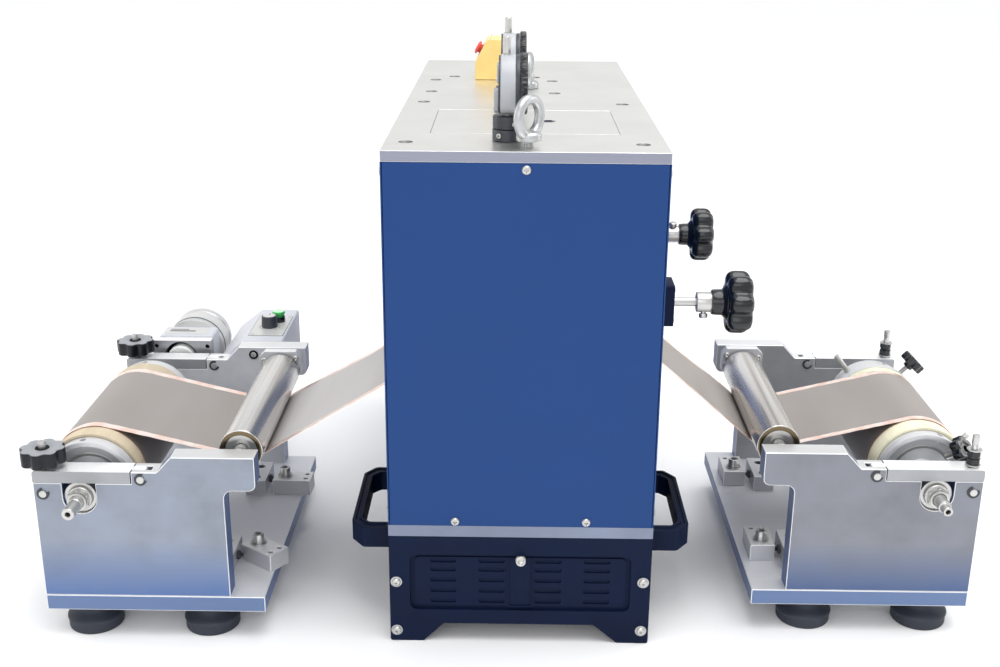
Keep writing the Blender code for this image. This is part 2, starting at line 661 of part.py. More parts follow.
def web_path():
    """Centre line of the web from the rewind reel to the unwind reel."""
    half = WEB_THICK / 2
    reel_r, guide_r = FOIL_RADIUS + GAP + half, GUIDE_RADIUS + 0.35 + half
    # (x, z) centre, web radius, side: 1 passes over, -1 passes under
    stops = [
        ((REWIND.x(REEL_U), REEL_Z), reel_r, 1),
        ((REWIND.x(GUIDE_U), GUIDE_Z), guide_r, -1),
        ((0, LOWER_Z), ROLL_RADIUS + GAP + half, 1),
        (TURN_BAR, TURN_BAR_RADIUS + GAP + half, 1),
        ((UNWIND.x(GUIDE_U), GUIDE_Z), guide_r, -1),
        ((UNWIND.x(REEL_U), REEL_Z), reel_r, 1),
    ]
    lines = [tangent(a, b) for a, b in zip(stops, stops[1:])]
    first, last = lines[0][0], lines[-1][0]
    path = wrap(stops[0], first + WEB_WRAP, first, REEL_WRAP_STEPS)
    for stop, before, after, steps in zip(stops[1:], lines, lines[1:], RUN_STEPS):
        path += straight(before, steps)
        path += wrap(stop, before[0], after[0], ROLLER_WRAP_STEPS)
    return path + wrap(stops[-1], last, last - WEB_WRAP, REEL_WRAP_STEPS)


def build_web():
    path = web_path()
    edge_x, near_edge, far_edge = zip(*WEB_EDGES)
    verts, faces = [], []
    for x, z, heading in path:
        nx, nz = -math.sin(heading) * WEB_THICK / 2, math.cos(heading) * WEB_THICK / 2
        for side in (1, -1):
            for edge_y in (near_edge, far_edge):
                y = float(np.interp(x, edge_x, edge_y))
                verts.append(((x + side * nx) * MM, y * MM, (z + side * nz) * MM))
    end = 4 * (len(path) - 1)
    for a in range(0, end, 4):
        b = a + 4
        faces += [(a, a + 1, b + 1, b), (a + 2, b + 2, b + 3, a + 3),
                  (a, b, b + 2, a + 2), (a + 1, a + 3, b + 3, b + 1)]
    faces += [(0, 2, 3, 1), (end, end + 1, end + 3, end + 2)]
    sheet = bpy.data.meshes.new("foil_web")
    sheet.from_pydata(verts, [], faces)
    part("foil_web", from_bmesh(as_bmesh(sheet)), "foil")


# ---------------------------------------------------------------- build
build_base_housing()
build_handle(-1, "handle_left")
build_handle(1, "handle_right")
build_panels()
build_plates()

build_roll_frame()
build_roll("lower_roll", LOWER_Z, 38, [(JOURNAL_RADIUS, 300), (12, 300), (12, 343), (0, 343)])
build_roll("upper_roll", UPPER_Z, 40, [(JOURNAL_RADIUS, 296), (0, 296)])
build_carriage()
build_drive()
for tag, y in WHEEL_Y.items():
    build_gap_wheel(tag, y)

build_eyebolt("near", 3.0, 24.5, seat=545.0, angle=54.0)
build_eyebolt("far", 6.5, 430.0, seat=TOP_Z + GAP, angle=84.0)
build_estop()
for tag, y in GAUGE_Y.items():
    build_gauge(tag, y)

for stand in (REWIND, UNWIND):
    build_stand_base(stand)
    for tag in SIDES:
        build_side(stand, tag)
        build_bolt(stand, tag)
    build_reel(stand)

build_swivel_block("rewind_block_near", -297.0, 85.0, angle=-37.0)
build_swivel_block("rewind_block_far", -297.0, 262.0, angle=-2.0)
build_swivel_block("unwind_block_near", 277.5, 108.0, angle=90.0)
build_swivel_block("unwind_block_far", 277.5, 304.0, angle=90.0)
build_rewind_motor()
build_controls()
# the near knob slants out of its collar's near face, the far one stands radially
build_lock("near", (480.0, 72.0, 202.0), direction=(0.61, -0.51, 0.61), reach=12.6)
build_lock("far", (494.2, 308.0, 217.2), direction=(1.0, 0.0, 1.0), reach=21.8)
build_web()
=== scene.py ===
"""Roll press for battery electrode foil, with a rewind stand at -x and an unwind stand at +x.

Lengths are layout millimetres: x runs across the press from its middle, y from the near end
to the far end, z up from the floor. piece() scales them to metres and moves them to the frame.
"""
import math

import bmesh
import bpy
from mathutils import Matrix, Vector


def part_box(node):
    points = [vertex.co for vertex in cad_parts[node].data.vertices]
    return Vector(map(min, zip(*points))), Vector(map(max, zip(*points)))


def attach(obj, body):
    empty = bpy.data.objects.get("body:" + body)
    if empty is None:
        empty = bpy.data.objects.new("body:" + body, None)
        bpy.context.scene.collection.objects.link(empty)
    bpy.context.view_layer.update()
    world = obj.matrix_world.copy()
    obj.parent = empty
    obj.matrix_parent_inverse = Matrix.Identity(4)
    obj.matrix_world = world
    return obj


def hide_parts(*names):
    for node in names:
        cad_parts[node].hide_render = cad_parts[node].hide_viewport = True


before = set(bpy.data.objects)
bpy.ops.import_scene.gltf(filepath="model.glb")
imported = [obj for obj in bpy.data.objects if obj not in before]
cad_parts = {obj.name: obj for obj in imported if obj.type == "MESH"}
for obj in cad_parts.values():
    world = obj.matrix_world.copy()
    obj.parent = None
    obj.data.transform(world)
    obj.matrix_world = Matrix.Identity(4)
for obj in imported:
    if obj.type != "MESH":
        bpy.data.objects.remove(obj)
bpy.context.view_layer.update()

# ---------------------------------------------------------------- driving dimensions
HALF_WIDTH, LENGTH, TOP_Z = 140.0, 713.0, 538.6     # press cabinet
ROLL_Z, GAP_Z = 305.0, 372.0                        # lower roll axis, handwheel axes
TURN_BAR = (62.0, 345.0, 10.0)                      # x, z, radius

# Within a stand, u runs inward from its outer edge and y from its near face.
STANDS = {"rewind": (-512.0, 1.0, 0.0),             # x of outer edge, inward sign, y of near face
          "unwind": (492.0, -1.0, 30.0)}
STAND_DEPTH, ARM_WIDTH, BASE_TOP = 366.0, 24.0, 51
REEL_U, GUIDE_U, BOLT_U = 48, 213, 10
REEL_Z, GUIDE_Z = 167.0, 208.0
REEL_X, GUIDE_X = ({name: edge + inward * u for name, (edge, inward, _) in STANDS.items()}
                   for u in (REEL_U, GUIDE_U))
REEL_STATIONS = {                                   # y of collar, core, foil; foil, core, collar
    "rewind": (36.0, 50.0, 69.0, 247.0, 270.0, 290.0),
    "unwind": (52.0, 65.0, 86.0, 240.0, 266.0, 290.0)}
FOIL_RADIUS, GUIDE_RADIUS = 52.4, 23.5

MILLIMETRE = 0.001
plate_low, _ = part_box("top_plate")
ORIGIN = Vector((plate_low.x + HALF_WIDTH * MILLIMETRE, plate_low.y, 0.0))


# ---------------------------------------------------------------- placing and outlines
def facing(direction):
    return Vector(direction).to_track_quat("Z", "Y").to_matrix().to_4x4()


# turns local +z to the named direction
AXES = {
    "x": Matrix(((0, 0, 1), (1, 0, 0), (0, 1, 0))).to_4x4(),
    "-x": Matrix(((0, 0, -1), (-1, 0, 0), (0, 1, 0))).to_4x4(),
    "y": Matrix(((0, 1, 0), (0, 0, 1), (1, 0, 0))).to_4x4(),
    "-y": Matrix(((1, 0, 0), (0, 0, -1), (0, 1, 0))).to_4x4(),
    "z": Matrix.Identity(4),
}
OUTLINE_XZ = Matrix(((1, 0, 0, 0), (0, 0, 1, 0), (0, 1, 0, 0), (0, 0, 0, 1)))
OUTLINE_YZ = Matrix(((0, 0, 1, 0), (1, 0, 0, 0), (0, 1, 0, 0), (0, 0, 0, 1)))


def place(pos, axis="z", twist=0.0):
    """local +z along axis, a name or a vector; twist is in degrees"""
    turn = AXES[axis] if isinstance(axis, str) else facing(axis)
    return Matrix.Translation(Vector(pos)) @ turn @ Matrix.Rotation(math.radians(twist), 4, "Z")


def polar_ring(radius_at, sides, z):
    ring = []
    for i in range(sides):
        a = 2 * math.pi * i / sides
        radius = radius_at(a)
        ring.append((radius * math.cos(a), radius * math.sin(a), z))
    return ring


def circle(radius, sides, z=0.0):
    return polar_ring(lambda a: radius, sides, z)


def hexagon(radius, sides, z):
    """a hexagon's outline sampled at equal angles; radius is to its corners"""
    half = math.pi / 6
    return polar_ring(
        lambda a: radius * math.cos(half) / math.cos((a % (2 * half)) - half), sides, z)


def cross(reach, width, sides, z):
    """a plus shape sampled at equal angles"""
    def radius_at(a):
        big, small = sorted((abs(math.cos(a)), abs(math.sin(a))), reverse=True)
        radius = min(reach / big, width / small) if small > 1e-6 else reach / big
        return max(radius, width * 1.05)
    return polar_ring(radius_at, sides, z)


def ease_corner(before, corner, after, length, steps):
    """points of a curve that leaves and rejoins the two legs at the given length"""
    start = corner + before.normalized() * length
    end = corner + after.normalized() * length
    points = []
    for i in range(steps + 1):
        t = i / steps
        point = start * (1 - t) ** 2 + corner * 2 * t * (1 - t) + end * t ** 2
        points.append((point.x, point.y))
    return points


def rounded(profile, size=0.6, steps=2):
    """eases each inner corner of a profile of (radius, height) pairs"""
    out = [profile[0]]
    for previous, here, following in zip(profile, profile[1:], profile[2:]):
        corner = Vector(here)
        before, after = Vector(previous) - corner, Vector(following) - corner
        if before.length < 1e-6 or after.length < 1e-6 or here[0] == 0:
            out.append(here)
            continue
        length = min(size, before.length * 0.45, after.length * 0.45)
        out += ease_corner(before, corner, after, length, steps)
    out.append(profile[-1])
    return out


def fillet(points, radius, steps=5):
    """rounds the corners of an outline; radius is a number or one per corner"""
    out = []
    count = len(points)
    for i in range(count):
        corner = Vector(points[i])
        before = Vector(points[i - 1]) - corner
        after = Vector(points[(i + 1) % count]) - corner
        size = radius[i] if isinstance(radius, (list, tuple)) else radius
        flat = size <= 0 or before.length < 1e-6 or after.length < 1e-6
        half = 0 if flat else before.angle(after) / 2
        if flat or half > math.pi / 2 - 0.02:
            out.append(tuple(corner))
            continue
        length = min(size / math.tan(half), before.length * 0.48, after.length * 0.48)
        out += ease_corner(before, corner, after, length, steps)
    return out


def rect(x0, x1, y0, y1, radius=0, steps=5):
    points = [(x0, y0), (x1, y0), (x1, y1), (x0, y1)]
    return fillet(points, radius, steps) if radius else points


# ---------------------------------------------------------------- solids
def finish_mesh(build, matrix=None):
    bmesh.ops.recalc_face_normals(build, faces=build.faces)
    if matrix is not None:
        bmesh.ops.transform(build, matrix=matrix, verts=build.verts)
        if matrix.determinant() < 0:
            bmesh.ops.reverse_faces(build, faces=build.faces)
    mesh = bpy.data.meshes.new("solid")
    build.to_mesh(mesh)
    build.free()
    return mesh


def loft(rings, matrix=None, closed=False):
    """skins rings of equal count; a ring of one point is a pole; ends are capped unless closed"""
    build = bmesh.new()
    rows = [[build.verts.new(point) for point in ring] for ring in rings]
    pairs = list(zip(rows, rows[1:]))
    if closed:
        pairs.append((rows[-1], rows[0]))
    for a, b in pairs:
        count = max(len(a), len(b))
        for i in range(count):
            j = (i + 1) % count
            if len(a) == 1:
                build.faces.new((a[0], b[i], b[j]))
            elif len(b) == 1:
                build.faces.new((a[i], a[j], b[0]))
            else:
                build.faces.new((a[i], a[j], b[j], b[i]))
    if not closed:
        for row in (rows[0], rows[-1]):
            if len(row) > 2:
                build.faces.new(row)
    return finish_mesh(build, matrix)


def lathe(profile, matrix=None, sides=64, closed=False):
    """profile is (radius, height) pairs"""
    rings = [[(0, 0, h)] if r == 0 else circle(r, sides, h) for r, h in profile]
    return loft(rings, matrix, closed)


def turned(profile, pos, axis="z", sides=64, ease=0.6, closed=False):
    """a lathed part with eased corners"""
    if closed:
        profile = rounded(profile + profile[:2], ease)[1:-1]
    else:
        profile = rounded(profile, ease)
    return lathe(profile, place(pos, axis), sides, closed)


def rod(radius, low, high, pos, axis="z", sides=64, ease=0.6):
    return turned([(0, low), (radius, low), (radius, high), (0, high)], pos, axis, sides, ease)


def tube(inner, outer, low, high, pos, axis="z", sides=64, ease=0.6):
    profile = [(inner, low), (outer, low), (outer, high), (inner, high)]
    return turned(profile, pos, axis, sides, ease, closed=True)


def drill(radius, low, high, pos, axis="z", sides=32):
    """a plain cylinder to cut with"""
    return lathe([(radius, low), (radius, high)], place(pos, axis), sides)


def extrude(points, z0, z1, matrix=None):
    build = bmesh.new()
    low = [build.verts.new((p[0], p[1], z0)) for p in points]
    high = [build.verts.new((p[0], p[1], z1)) for p in points]
    count = len(points)
    build.faces.new(low)
    build.faces.new(high)
    for i in range(count):
        j = (i + 1) % count
        build.faces.new((low[i], low[j], high[j], high[i]))
    return finish_mesh(build, matrix)


def slab(points, y0, y1):
    """outline (x, z) swept along y"""
    return extrude(points, y0, y1, OUTLINE_XZ)


def side_slab(points, x0, x1):
    """outline (y, z) swept along x"""
    return extrude(points, x0, x1, OUTLINE_YZ)


def box(x0, x1, y0, y1, z0, z1):
    return extrude(rect(x0, x1, y0, y1), z0, z1)


def combine(first, others, operation):
    objects = []
    for mesh in (first, *others):
        obj = bpy.data.objects.new("tmp", mesh)
        bpy.context.scene.collection.objects.link(obj)
        objects.append(obj)
    body = objects[0]
    for tool in objects[1:]:
        mod = body.modifiers.new("boolean", "BOOLEAN")
        mod.operation = operation
        mod.solver = "EXACT"
        mod.object = tool
    bpy.context.view_layer.update()
    graph = bpy.context.evaluated_depsgraph_get()
    mesh = bpy.data.meshes.new_from_object(body.evaluated_get(graph))
    for obj in objects:
        bpy.data.objects.remove(obj, do_unlink=True)
    build = bmesh.new()
    build.from_mesh(mesh)
    bmesh.ops.remove_doubles(build, verts=build.verts, dist=1e-3)
    bmesh.ops.dissolve_limit(build, angle_limit=0.003, verts=build.verts, edges=build.edges)
    return finish_mesh(build)


def cut(first, *others):
    return combine(first, others, "DIFFERENCE")


def join(first, *others):
    return combine(first, others, "UNION")


def soften(obj, width, segments=2, angle=32.0):
    mod = obj.modifiers.new("edge", "BEVEL")
    mod.width = width * MILLIMETRE
    mod.segments = segments
    mod.limit_method = "ANGLE"
    mod.angle_limit = math.radians(angle)
    mod.miter_outer = "MITER_ARC"
    mod.use_clamp_overlap = True
    mod.harden_normals = True


def piece(name, meshes, material, body="machine", replaces=None, bevel=0.0, segments=2,
          angle=32.0, lit_bevels=False):
    """one visible piece made of one or more solids; it can give its bevels a light metal, a
    painted highlight along the edges
    """
    build = bmesh.new()
    for solid in meshes if isinstance(meshes, list) else [meshes]:
        build.from_mesh(solid)
    mesh = bpy.data.meshes.new(name)
    for vert in build.verts:
        vert.co = vert.co * MILLIMETRE + ORIGIN
    for face in build.faces:
        face.smooth = True
    build.to_mesh(mesh)
    build.free()
    mesh.set_sharp_from_angle(angle=math.radians(angle))
    mesh.materials.append(material)
    obj = bpy.data.objects.new(name, mesh)
    bpy.context.scene.collection.objects.link(obj)
    if bevel:
        soften(obj, bevel, segments, angle)
    # painted highlight: the bevels take the light edge metal
    if lit_bevels:
        mesh.materials.append(EDGE_HIGHLIGHT)
        obj.modifiers["edge"].material = 1
    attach(obj, body)
    if replaces:
        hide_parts(replaces)


def carry(node, material, bevel, segments):
    """keeps a CAD node's shape, with a real finish and eased edges"""
    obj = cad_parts[node]
    obj.data.materials.clear()
    obj.data.materials.append(material)
    soften(obj, bevel, segments)


# ---------------------------------------------------------------- materials
def srgb(*channels):
    return tuple(c / 255 / 12.92 if c / 255 <= 0.04045 else ((c / 255 + 0.055) / 1.055) ** 2.4
                 for c in channels)


def grey(value):
    return (value, value, value)


def scaled(colour, factor):
    return tuple(min(1.0, c * factor) for c in colour)


class Shader:
    """short calls for building a node tree"""

    def __init__(self, tree):
        self.tree = tree
        self.coord = self.node("ShaderNodeTexCoord")

    def node(self, kind, **inputs):
        node = self.tree.nodes.new(kind)
        for key, value in inputs.items():
            node.inputs[key.replace("_", " ")].default_value = value
        return node

    def link(self, source, target):
        self.tree.links.new(source, target)

    def feed(self, socket, value):
        if isinstance(value, bpy.types.NodeSocket):
            self.link(value, socket)
        elif isinstance(value, tuple) and len(value) == 3 and len(socket.default_value) == 4:
            socket.default_value = (*value, 1.0)
        else:
            socket.default_value = value

    def noise(self, scale, detail=3.0, rough=0.5, stretch=None):
        noise = self.node("ShaderNodeTexNoise", Scale=scale, Detail=detail, Roughness=rough)
        vector = self.coord.outputs["Object"]
        if stretch:
            mapping = self.node("ShaderNodeMapping", Scale=stretch)
            self.link(vector, mapping.inputs["Vector"])
            vector = mapping.outputs["Vector"]
        self.link(vector, noise.inputs["Vector"])
        return noise.outputs["Fac"]

    def ramp(self, factor, stops):
        node = self.node("ShaderNodeValToRGB")
        elements = node.color_ramp.elements
        while len(elements) < len(stops):
            elements.new(0.5)
        for element, (position, colour) in zip(elements, stops):
            element.position = position
            element.color = (*colour, 1.0)
        self.link(factor, node.inputs["Fac"])
        return node.outputs["Color"]

    def span(self, factor, low, high, start, end):
        """maps low..high to start..end"""
        node = self.node("ShaderNodeMapRange",
                         From_Min=low, From_Max=high, To_Min=start, To_Max=end)
        self.link(factor, node.inputs["Value"])
        return node.outputs["Result"]

    def mix(self, factor, first, second, mode="MIX"):
        node = self.node("ShaderNodeMix")
        node.data_type = "RGBA"
        node.blend_type = mode
        for index, value in ((0, factor), (6, first), (7, second)):
            self.feed(node.inputs[index], value)
        return node.outputs[2]

    def math(self, operation, *values, clamp=False):
        node = self.node("ShaderNodeMath")
        node.operation = operation
        node.use_clamp = clamp
        for socket, value in zip(node.inputs, values):
            self.feed(socket, value)
        return node.outputs[0]

    def split(self, vector):
        node = self.node("ShaderNodeSeparateXYZ")
        self.link(vector, node.inputs["Vector"])
        return node.outputs

    def axis(self, which):
        return self.split(self.coord.outputs["Object"])[which]

    def normal(self, kind="True Normal"):
        return self.split(self.node("ShaderNodeNewGeometry").outputs[kind])

    def bump(self, height, strength, distance):
        node = self.node("ShaderNodeBump", Strength=strength, Distance=distance)
        self.link(height, node.inputs["Height"])
        return node.outputs["Normal"]


class Surface(Shader):
    def __init__(self, name):
        self.material = bpy.data.materials.new(name)
        self.material.use_nodes = True
        super().__init__(self.material.node_tree)

    def set(self, **values):
        inputs = self.tree.nodes["Principled BSDF"].inputs
        for key, value in values.items():
            self.feed(inputs[key.replace("_", " ")], value)
        return self.material


def painted(name, colour, rough, grain, depth, vary, specular=0.5):
    """grain is the scale of the fine texture and depth its bump; vary is the cloudiness"""
    surface = Surface(name)
    base = surface.ramp(surface.noise(9.0),
                        [(0.3, scaled(colour, 1 - vary)), (0.7, scaled(colour, 1 + vary))])
    fine = surface.noise(grain, detail=2.0)
    return surface.set(
        Base_Color=base,
        Roughness=surface.span(surface.noise(35.0, detail=4.0), 0.3, 0.7,
                               rough - 0.04, rough + 0.05),
        Normal=surface.bump(fine, depth, distance=0.00015),
        Specular_IOR_Level=specular, Coat_Roughness=0.15)


def brushed(name, colour, rough, vary, depth=0.0, metal=1.0, lined=False, foot_shade=None,
            top=None, end=None, side=None):
    """metal with cloudy patches; lined scratches it along x; a (low z, high z, colour) triple
    paints a band of bluish shade low down that fades upward; top, end and side paint light
    and shade on the faces toward +z, -y and +-x"""
    surface = Surface(name)
    stretch = (14, 900, 900) if lined else (500, 500, 500)
    scratch = surface.noise(1.0, rough=0.6, stretch=stretch)
    cloud = surface.noise(16.0, rough=0.55)
    base = surface.ramp(cloud,
                        [(0.25, scaled(colour, 1 - vary)), (0.75, scaled(colour, 1 + vary))])
    # painted shade: a bluish band low on the part, fading upward
    if foot_shade:
        low, high, low_colour = foot_shade
        fade = surface.span(surface.axis("Z"), low, high, 1.0, 0.0)
        wobble = surface.math("MULTIPLY_ADD", cloud, 0.5, fade)
        base = surface.mix(surface.math("SUBTRACT", wobble, 0.25, clamp=True), base, low_colour)
    # painted light: a highlight on upward faces, painted shade and reflection on end and side
    # faces
    if top or end or side:
        normal = surface.normal()
        if side:
            sideways = surface.math("ABSOLUTE", normal["X"])
            base = surface.mix(surface.span(sideways, 0.6, 0.9, 0.0, 1.0), base, side)
        if top:
            base = surface.mix(surface.span(normal["Z"], 0.6, 0.9, 0.0, 1.0), base, top)
        if end:
            base = surface.mix(surface.span(normal["Y"], -0.6, -0.9, 0.0, 1.0), base, end)
    dark, smoother, rougher = (0.93, 0.06, 0.08) if lined else (0.975, 0.015, 0.02)
    fine = surface.ramp(scratch, [(0.3, grey(dark)), (0.7, grey(1.0))])
    surface.set(Base_Color=surface.mix(1.0, base, fine, "MULTIPLY"), Metallic=metal,
                Roughness=surface.span(scratch, 0.3, 0.7, rough - smoother, rough + rougher))
    if depth:
        surface.set(Normal=surface.bump(scratch, depth, distance=0.0001))
    return surface.material


def moulded(name, colour, rough, grain, depth, specular=0.5, coat=0.0, top=None):
    """plastic or rubber; top paints a highlight on the faces that look up"""
    surface = Surface(name)
    fine = surface.noise(grain, detail=2.0, rough=0.6)
    broad = surface.noise(22.0)
    base = surface.ramp(broad, [(0.3, scaled(colour, 0.9)), (0.7, scaled(colour, 1.12))])
    if top:
        base = surface.mix(surface.span(surface.normal()["Z"], 0.80, 0.96, 0.0, 1.0), base, top)
    return surface.set(
        Base_Color=base,
        Roughness=surface.span(broad, 0.3, 0.7, rough - 0.04, rough + 0.06),
        Normal=surface.bump(fine, depth, distance=0.0002),
        Specular_IOR_Level=specular, Coat_Weight=coat, Coat_Roughness=0.08)


def roller_material(name):
    """fine circumferential scratches under broad painted reflection bands that run its length"""
    surface = Surface(name)
    band = surface.noise(1.0, detail=2.0, stretch=(95, 1.5, 95))
    fine = surface.noise(1.0, rough=0.6, stretch=(700, 14, 700))
    tone = surface.ramp(band, [(0.30, (0.40, 0.385, 0.36)), (0.48, (0.60, 0.575, 0.54)),
                               (0.62, (0.74, 0.73, 0.72)), (0.75, (0.56, 0.535, 0.50))])
    shade = surface.ramp(fine, [(0.3, grey(0.97)), (0.7, grey(1.0))])
    return surface.set(Base_Color=surface.mix(1.0, tone, shade, "MULTIPLY"), Metallic=0.80,
                       Roughness=surface.span(fine, 0.3, 0.7, 0.23, 0.26))


def core_material(name, colour):
    surface = Surface(name)
    ring = surface.noise(60.0, detail=4.0, rough=0.6, stretch=(1, 0.15, 1))
    fibre = surface.noise(900.0)
    return surface.set(
        Base_Color=surface.ramp(ring, [(0.25, scaled(colour, 0.82)), (0.6, colour),
                                       (0.9, scaled(colour, 1.06))]),
        Roughness=0.6, Normal=surface.bump(fibre, 0.25, distance=0.0002),
        Subsurface_Weight=0.05, Subsurface_Radius=(0.004, 0.003, 0.002))


def foil_material(name):
    """grey electrode coating with bare copper margins; UV x runs across the web"""
    surface = Surface(name)
    across = surface.split(surface.coord.outputs["UV"])["X"]
    from_edge = surface.math("PINGPONG", across, 0.5)
    ragged = surface.span(surface.noise(55.0, detail=4.0, rough=0.65), 0.3, 0.7, -0.006, 0.006)
    margin = surface.span(surface.math("ADD", from_edge, ragged), 0.052, 0.058, 0.0, 1.0)
    grain = surface.noise(700.0)
    broad = surface.noise(18.0, detail=2.0, stretch=(1, 0.3, 1))

    def tone(dark, light):
        return surface.ramp(broad, [(0.2, srgb(*dark)), (0.8, srgb(*light))])

    coat = tone((140, 133, 129), (152, 146, 142))
    # the runs to the press lie at a flatter angle to the light and read paler
    far = surface.math("ABSOLUTE", surface.axis("X"))
    coat = surface.mix(surface.span(far, 0.255, 0.275, 1.0, 0.0), coat, surface.mix(
        surface.span(surface.axis("X"), -0.02, 0.02, 0.0, 1.0),
        tone((182, 178, 176), (194, 191, 190)), tone((148, 141, 135), (160, 154, 149))))
    copper = surface.ramp(surface.noise(60.0),
                          [(0.3, srgb(246, 206, 188)), (0.6, srgb(255, 240, 232))])
    return surface.set(Base_Color=surface.mix(margin, copper, coat),
                       Metallic=surface.span(margin, 0.0, 1.0, 0.75, 0.12),
                       Roughness=surface.span(margin, 0.0, 1.0, 0.30, 0.52),
                       Normal=surface.bump(grain, 0.08, distance=0.0001))


def wound_material(name):
    """edge-on layers of wound foil: copper sides, grey outside"""
    surface = Surface(name)
    endwise = surface.math("ABSOLUTE", surface.normal("Normal")["Y"])
    factor = surface.span(endwise, 0.3, 0.6, 0.0, 1.0)
    coat = surface.ramp(surface.noise(18.0, detail=2.0),
                        [(0.2, srgb(112, 106, 103)), (0.8, srgb(128, 122, 118))])
    copper = surface.ramp(surface.noise(1500.0, detail=2.0),
                          [(0.3, srgb(200, 130, 108)), (0.7, srgb(240, 184, 160))])
    return surface.set(Base_Color=surface.mix(factor, coat, copper),
                       Metallic=surface.span(factor, 0.0, 1.0, 0.12, 0.7), Roughness=0.42)


BLUE = painted("powder_blue", (0.010, 0.048, 0.182), rough=0.42, grain=1500.0, depth=0.10,
               vary=0.03, specular=0.20)
BLACK = moulded("textured_black", srgb(8, 22, 50), rough=0.52, grain=2600.0, depth=0.30,
                specular=0.13)
GLOSS = moulded("gloss_black", srgb(14, 17, 22), rough=0.22, grain=700.0, depth=0.02,
                specular=0.45, coat=0.25)
# top paints a sheen on the upward faces
KNOB = moulded("knob_black", srgb(10, 12, 22), rough=0.30, grain=700.0, depth=0.02,
               specular=0.30, coat=0.12, top=(0.27, 0.28, 0.30))
GUN = moulded("satin_black_metal", srgb(50, 53, 60), rough=0.36, grain=900.0, depth=0.06)
# end paints shade on the faces toward -y
TOP = brushed("satin_top", (0.79, 0.79, 0.765), rough=0.34, vary=0.04, depth=0.05, lined=True,
              end=(0.30, 0.315, 0.385))
STEEL = brushed("ground_steel", (0.22, 0.25, 0.33), rough=0.36, vary=0.10, depth=0.06,
                lined=True)
# painted light: top paints a highlight on the upward faces; end and side paint bluish shade and
# reflection on the faces toward -y and +-x
STAND_BASE = brushed("stand_base_plate", (0.50, 0.51, 0.55), rough=0.38, vary=0.16, depth=0.06,
                     metal=0.35, lined=True, top=(0.80, 0.81, 0.84),
                     end=(0.130, 0.195, 0.355), side=(0.065, 0.125, 0.30))
# painted light: all four plates are one metal; the far ones are painted lighter to offset their
# shade, the near ones carry a painted band of bluish shade low down, top paints a highlight and
# side paints bluish reflection
STAND_PLATES = {
    "rewind_near": brushed(
        "stand_plate_left", (0.28, 0.31, 0.37), rough=0.40, vary=0.20, depth=0.06, metal=0.72,
        lined=True, foot_shade=(0.055, 0.120, (0.12, 0.19, 0.38)), top=grey(0.74),
        side=(0.10, 0.18, 0.40)),
    "unwind_near": brushed(
        "stand_plate_right", (0.23, 0.24, 0.27), rough=0.40, vary=0.18, depth=0.06, metal=0.72,
        lined=True, foot_shade=(0.050, 0.110, (0.085, 0.13, 0.26)), top=grey(0.72),
        side=(0.09, 0.15, 0.33)),
    "rewind_far": brushed(
        "stand_plate_left_far", (0.62, 0.63, 0.66), rough=0.40, vary=0.16, depth=0.06,
        metal=0.35, lined=True, top=grey(0.74), side=(0.20, 0.27, 0.45)),
    "unwind_far": brushed(
        "stand_plate_right_far", (0.34, 0.345, 0.36), rough=0.40, vary=0.16, depth=0.06,
        metal=0.35, lined=True, top=grey(0.72), side=(0.16, 0.21, 0.38)),
}
# top paints a highlight on the upward faces
BARS = brushed("stand_bar", (0.36, 0.37, 0.39), rough=0.36, vary=0.12, depth=0.06, metal=0.55,
               lined=True, top=grey(1.0))
BLOCKS = brushed("stand_block", (0.52, 0.53, 0.56), rough=0.36, vary=0.08, depth=0.06,
                 metal=0.4, lined=True, top=grey(0.80))
TURNED = brushed("turned_steel", grey(0.50), rough=0.30, vary=0.05, metal=0.85)
BRIGHT = brushed("bright_zinc", (0.56, 0.555, 0.54), rough=0.30, vary=0.05, metal=0.8)
# painted highlight for bevelled edges
EDGE_HIGHLIGHT = brushed("painted_edge_highlight", (0.86, 0.87, 0.88), rough=0.34, vary=0.03, metal=0.6)
SINK = brushed("screw_recess", (0.16, 0.155, 0.145), rough=0.42, vary=0.10, metal=0.3)
SATIN = brushed("satin_forging", (0.46, 0.47, 0.48), rough=0.36, vary=0.06, depth=0.03,
                metal=0.8)
CAN = brushed("motor_can", grey(0.66), rough=0.32, vary=0.05, metal=0.7)
# end paints slight shade on the faces toward -y
COLLAR = brushed("reel_collar", (0.62, 0.62, 0.63), rough=0.36, vary=0.05, metal=0.30,
                 end=(0.60, 0.61, 0.63))
IRON = painted("cast_iron_grey", srgb(96, 100, 106), rough=0.5, grain=900.0, depth=0.3,
               vary=0.1)
GREY = painted("machine_grey", srgb(196, 198, 204), rough=0.42, grain=1200.0, depth=0.15,
               vary=0.05)
GAUGE = painted("gauge_grey", srgb(172, 175, 180), rough=0.34, grain=900.0, depth=0.05,
                vary=0.05)
DARK_GREY = painted("dark_grey", srgb(84, 88, 94), rough=0.42, grain=1200.0, depth=0.12,
                    vary=0.05)
YELLOW = moulded("yellow_plastic", srgb(240, 206, 128), rough=0.36, grain=1600.0, depth=0.04,
                 specular=0.4, coat=0.1)
RED = moulded("red_plastic", srgb(206, 66, 56), rough=0.30, grain=900.0, depth=0.04,
              specular=0.4, coat=0.2)
# top paints a highlight on the upward faces
GREEN = moulded("green_plastic", srgb(70, 196, 96), rough=0.30, grain=900.0, depth=0.04,
                specular=0.4, coat=0.2, top=srgb(190, 232, 192))
RUBBER = moulded("rubber", srgb(46, 51, 62), rough=0.60, grain=1300.0, depth=0.25, specular=0.4)
WHITE = moulded("white_nylon", srgb(214, 214, 212), rough=0.4, grain=900.0, depth=0.05)
LABEL = brushed("label_plate", (0.66, 0.66, 0.64), rough=0.38, vary=0.05, depth=0.05,
                metal=0.4, lined=True)
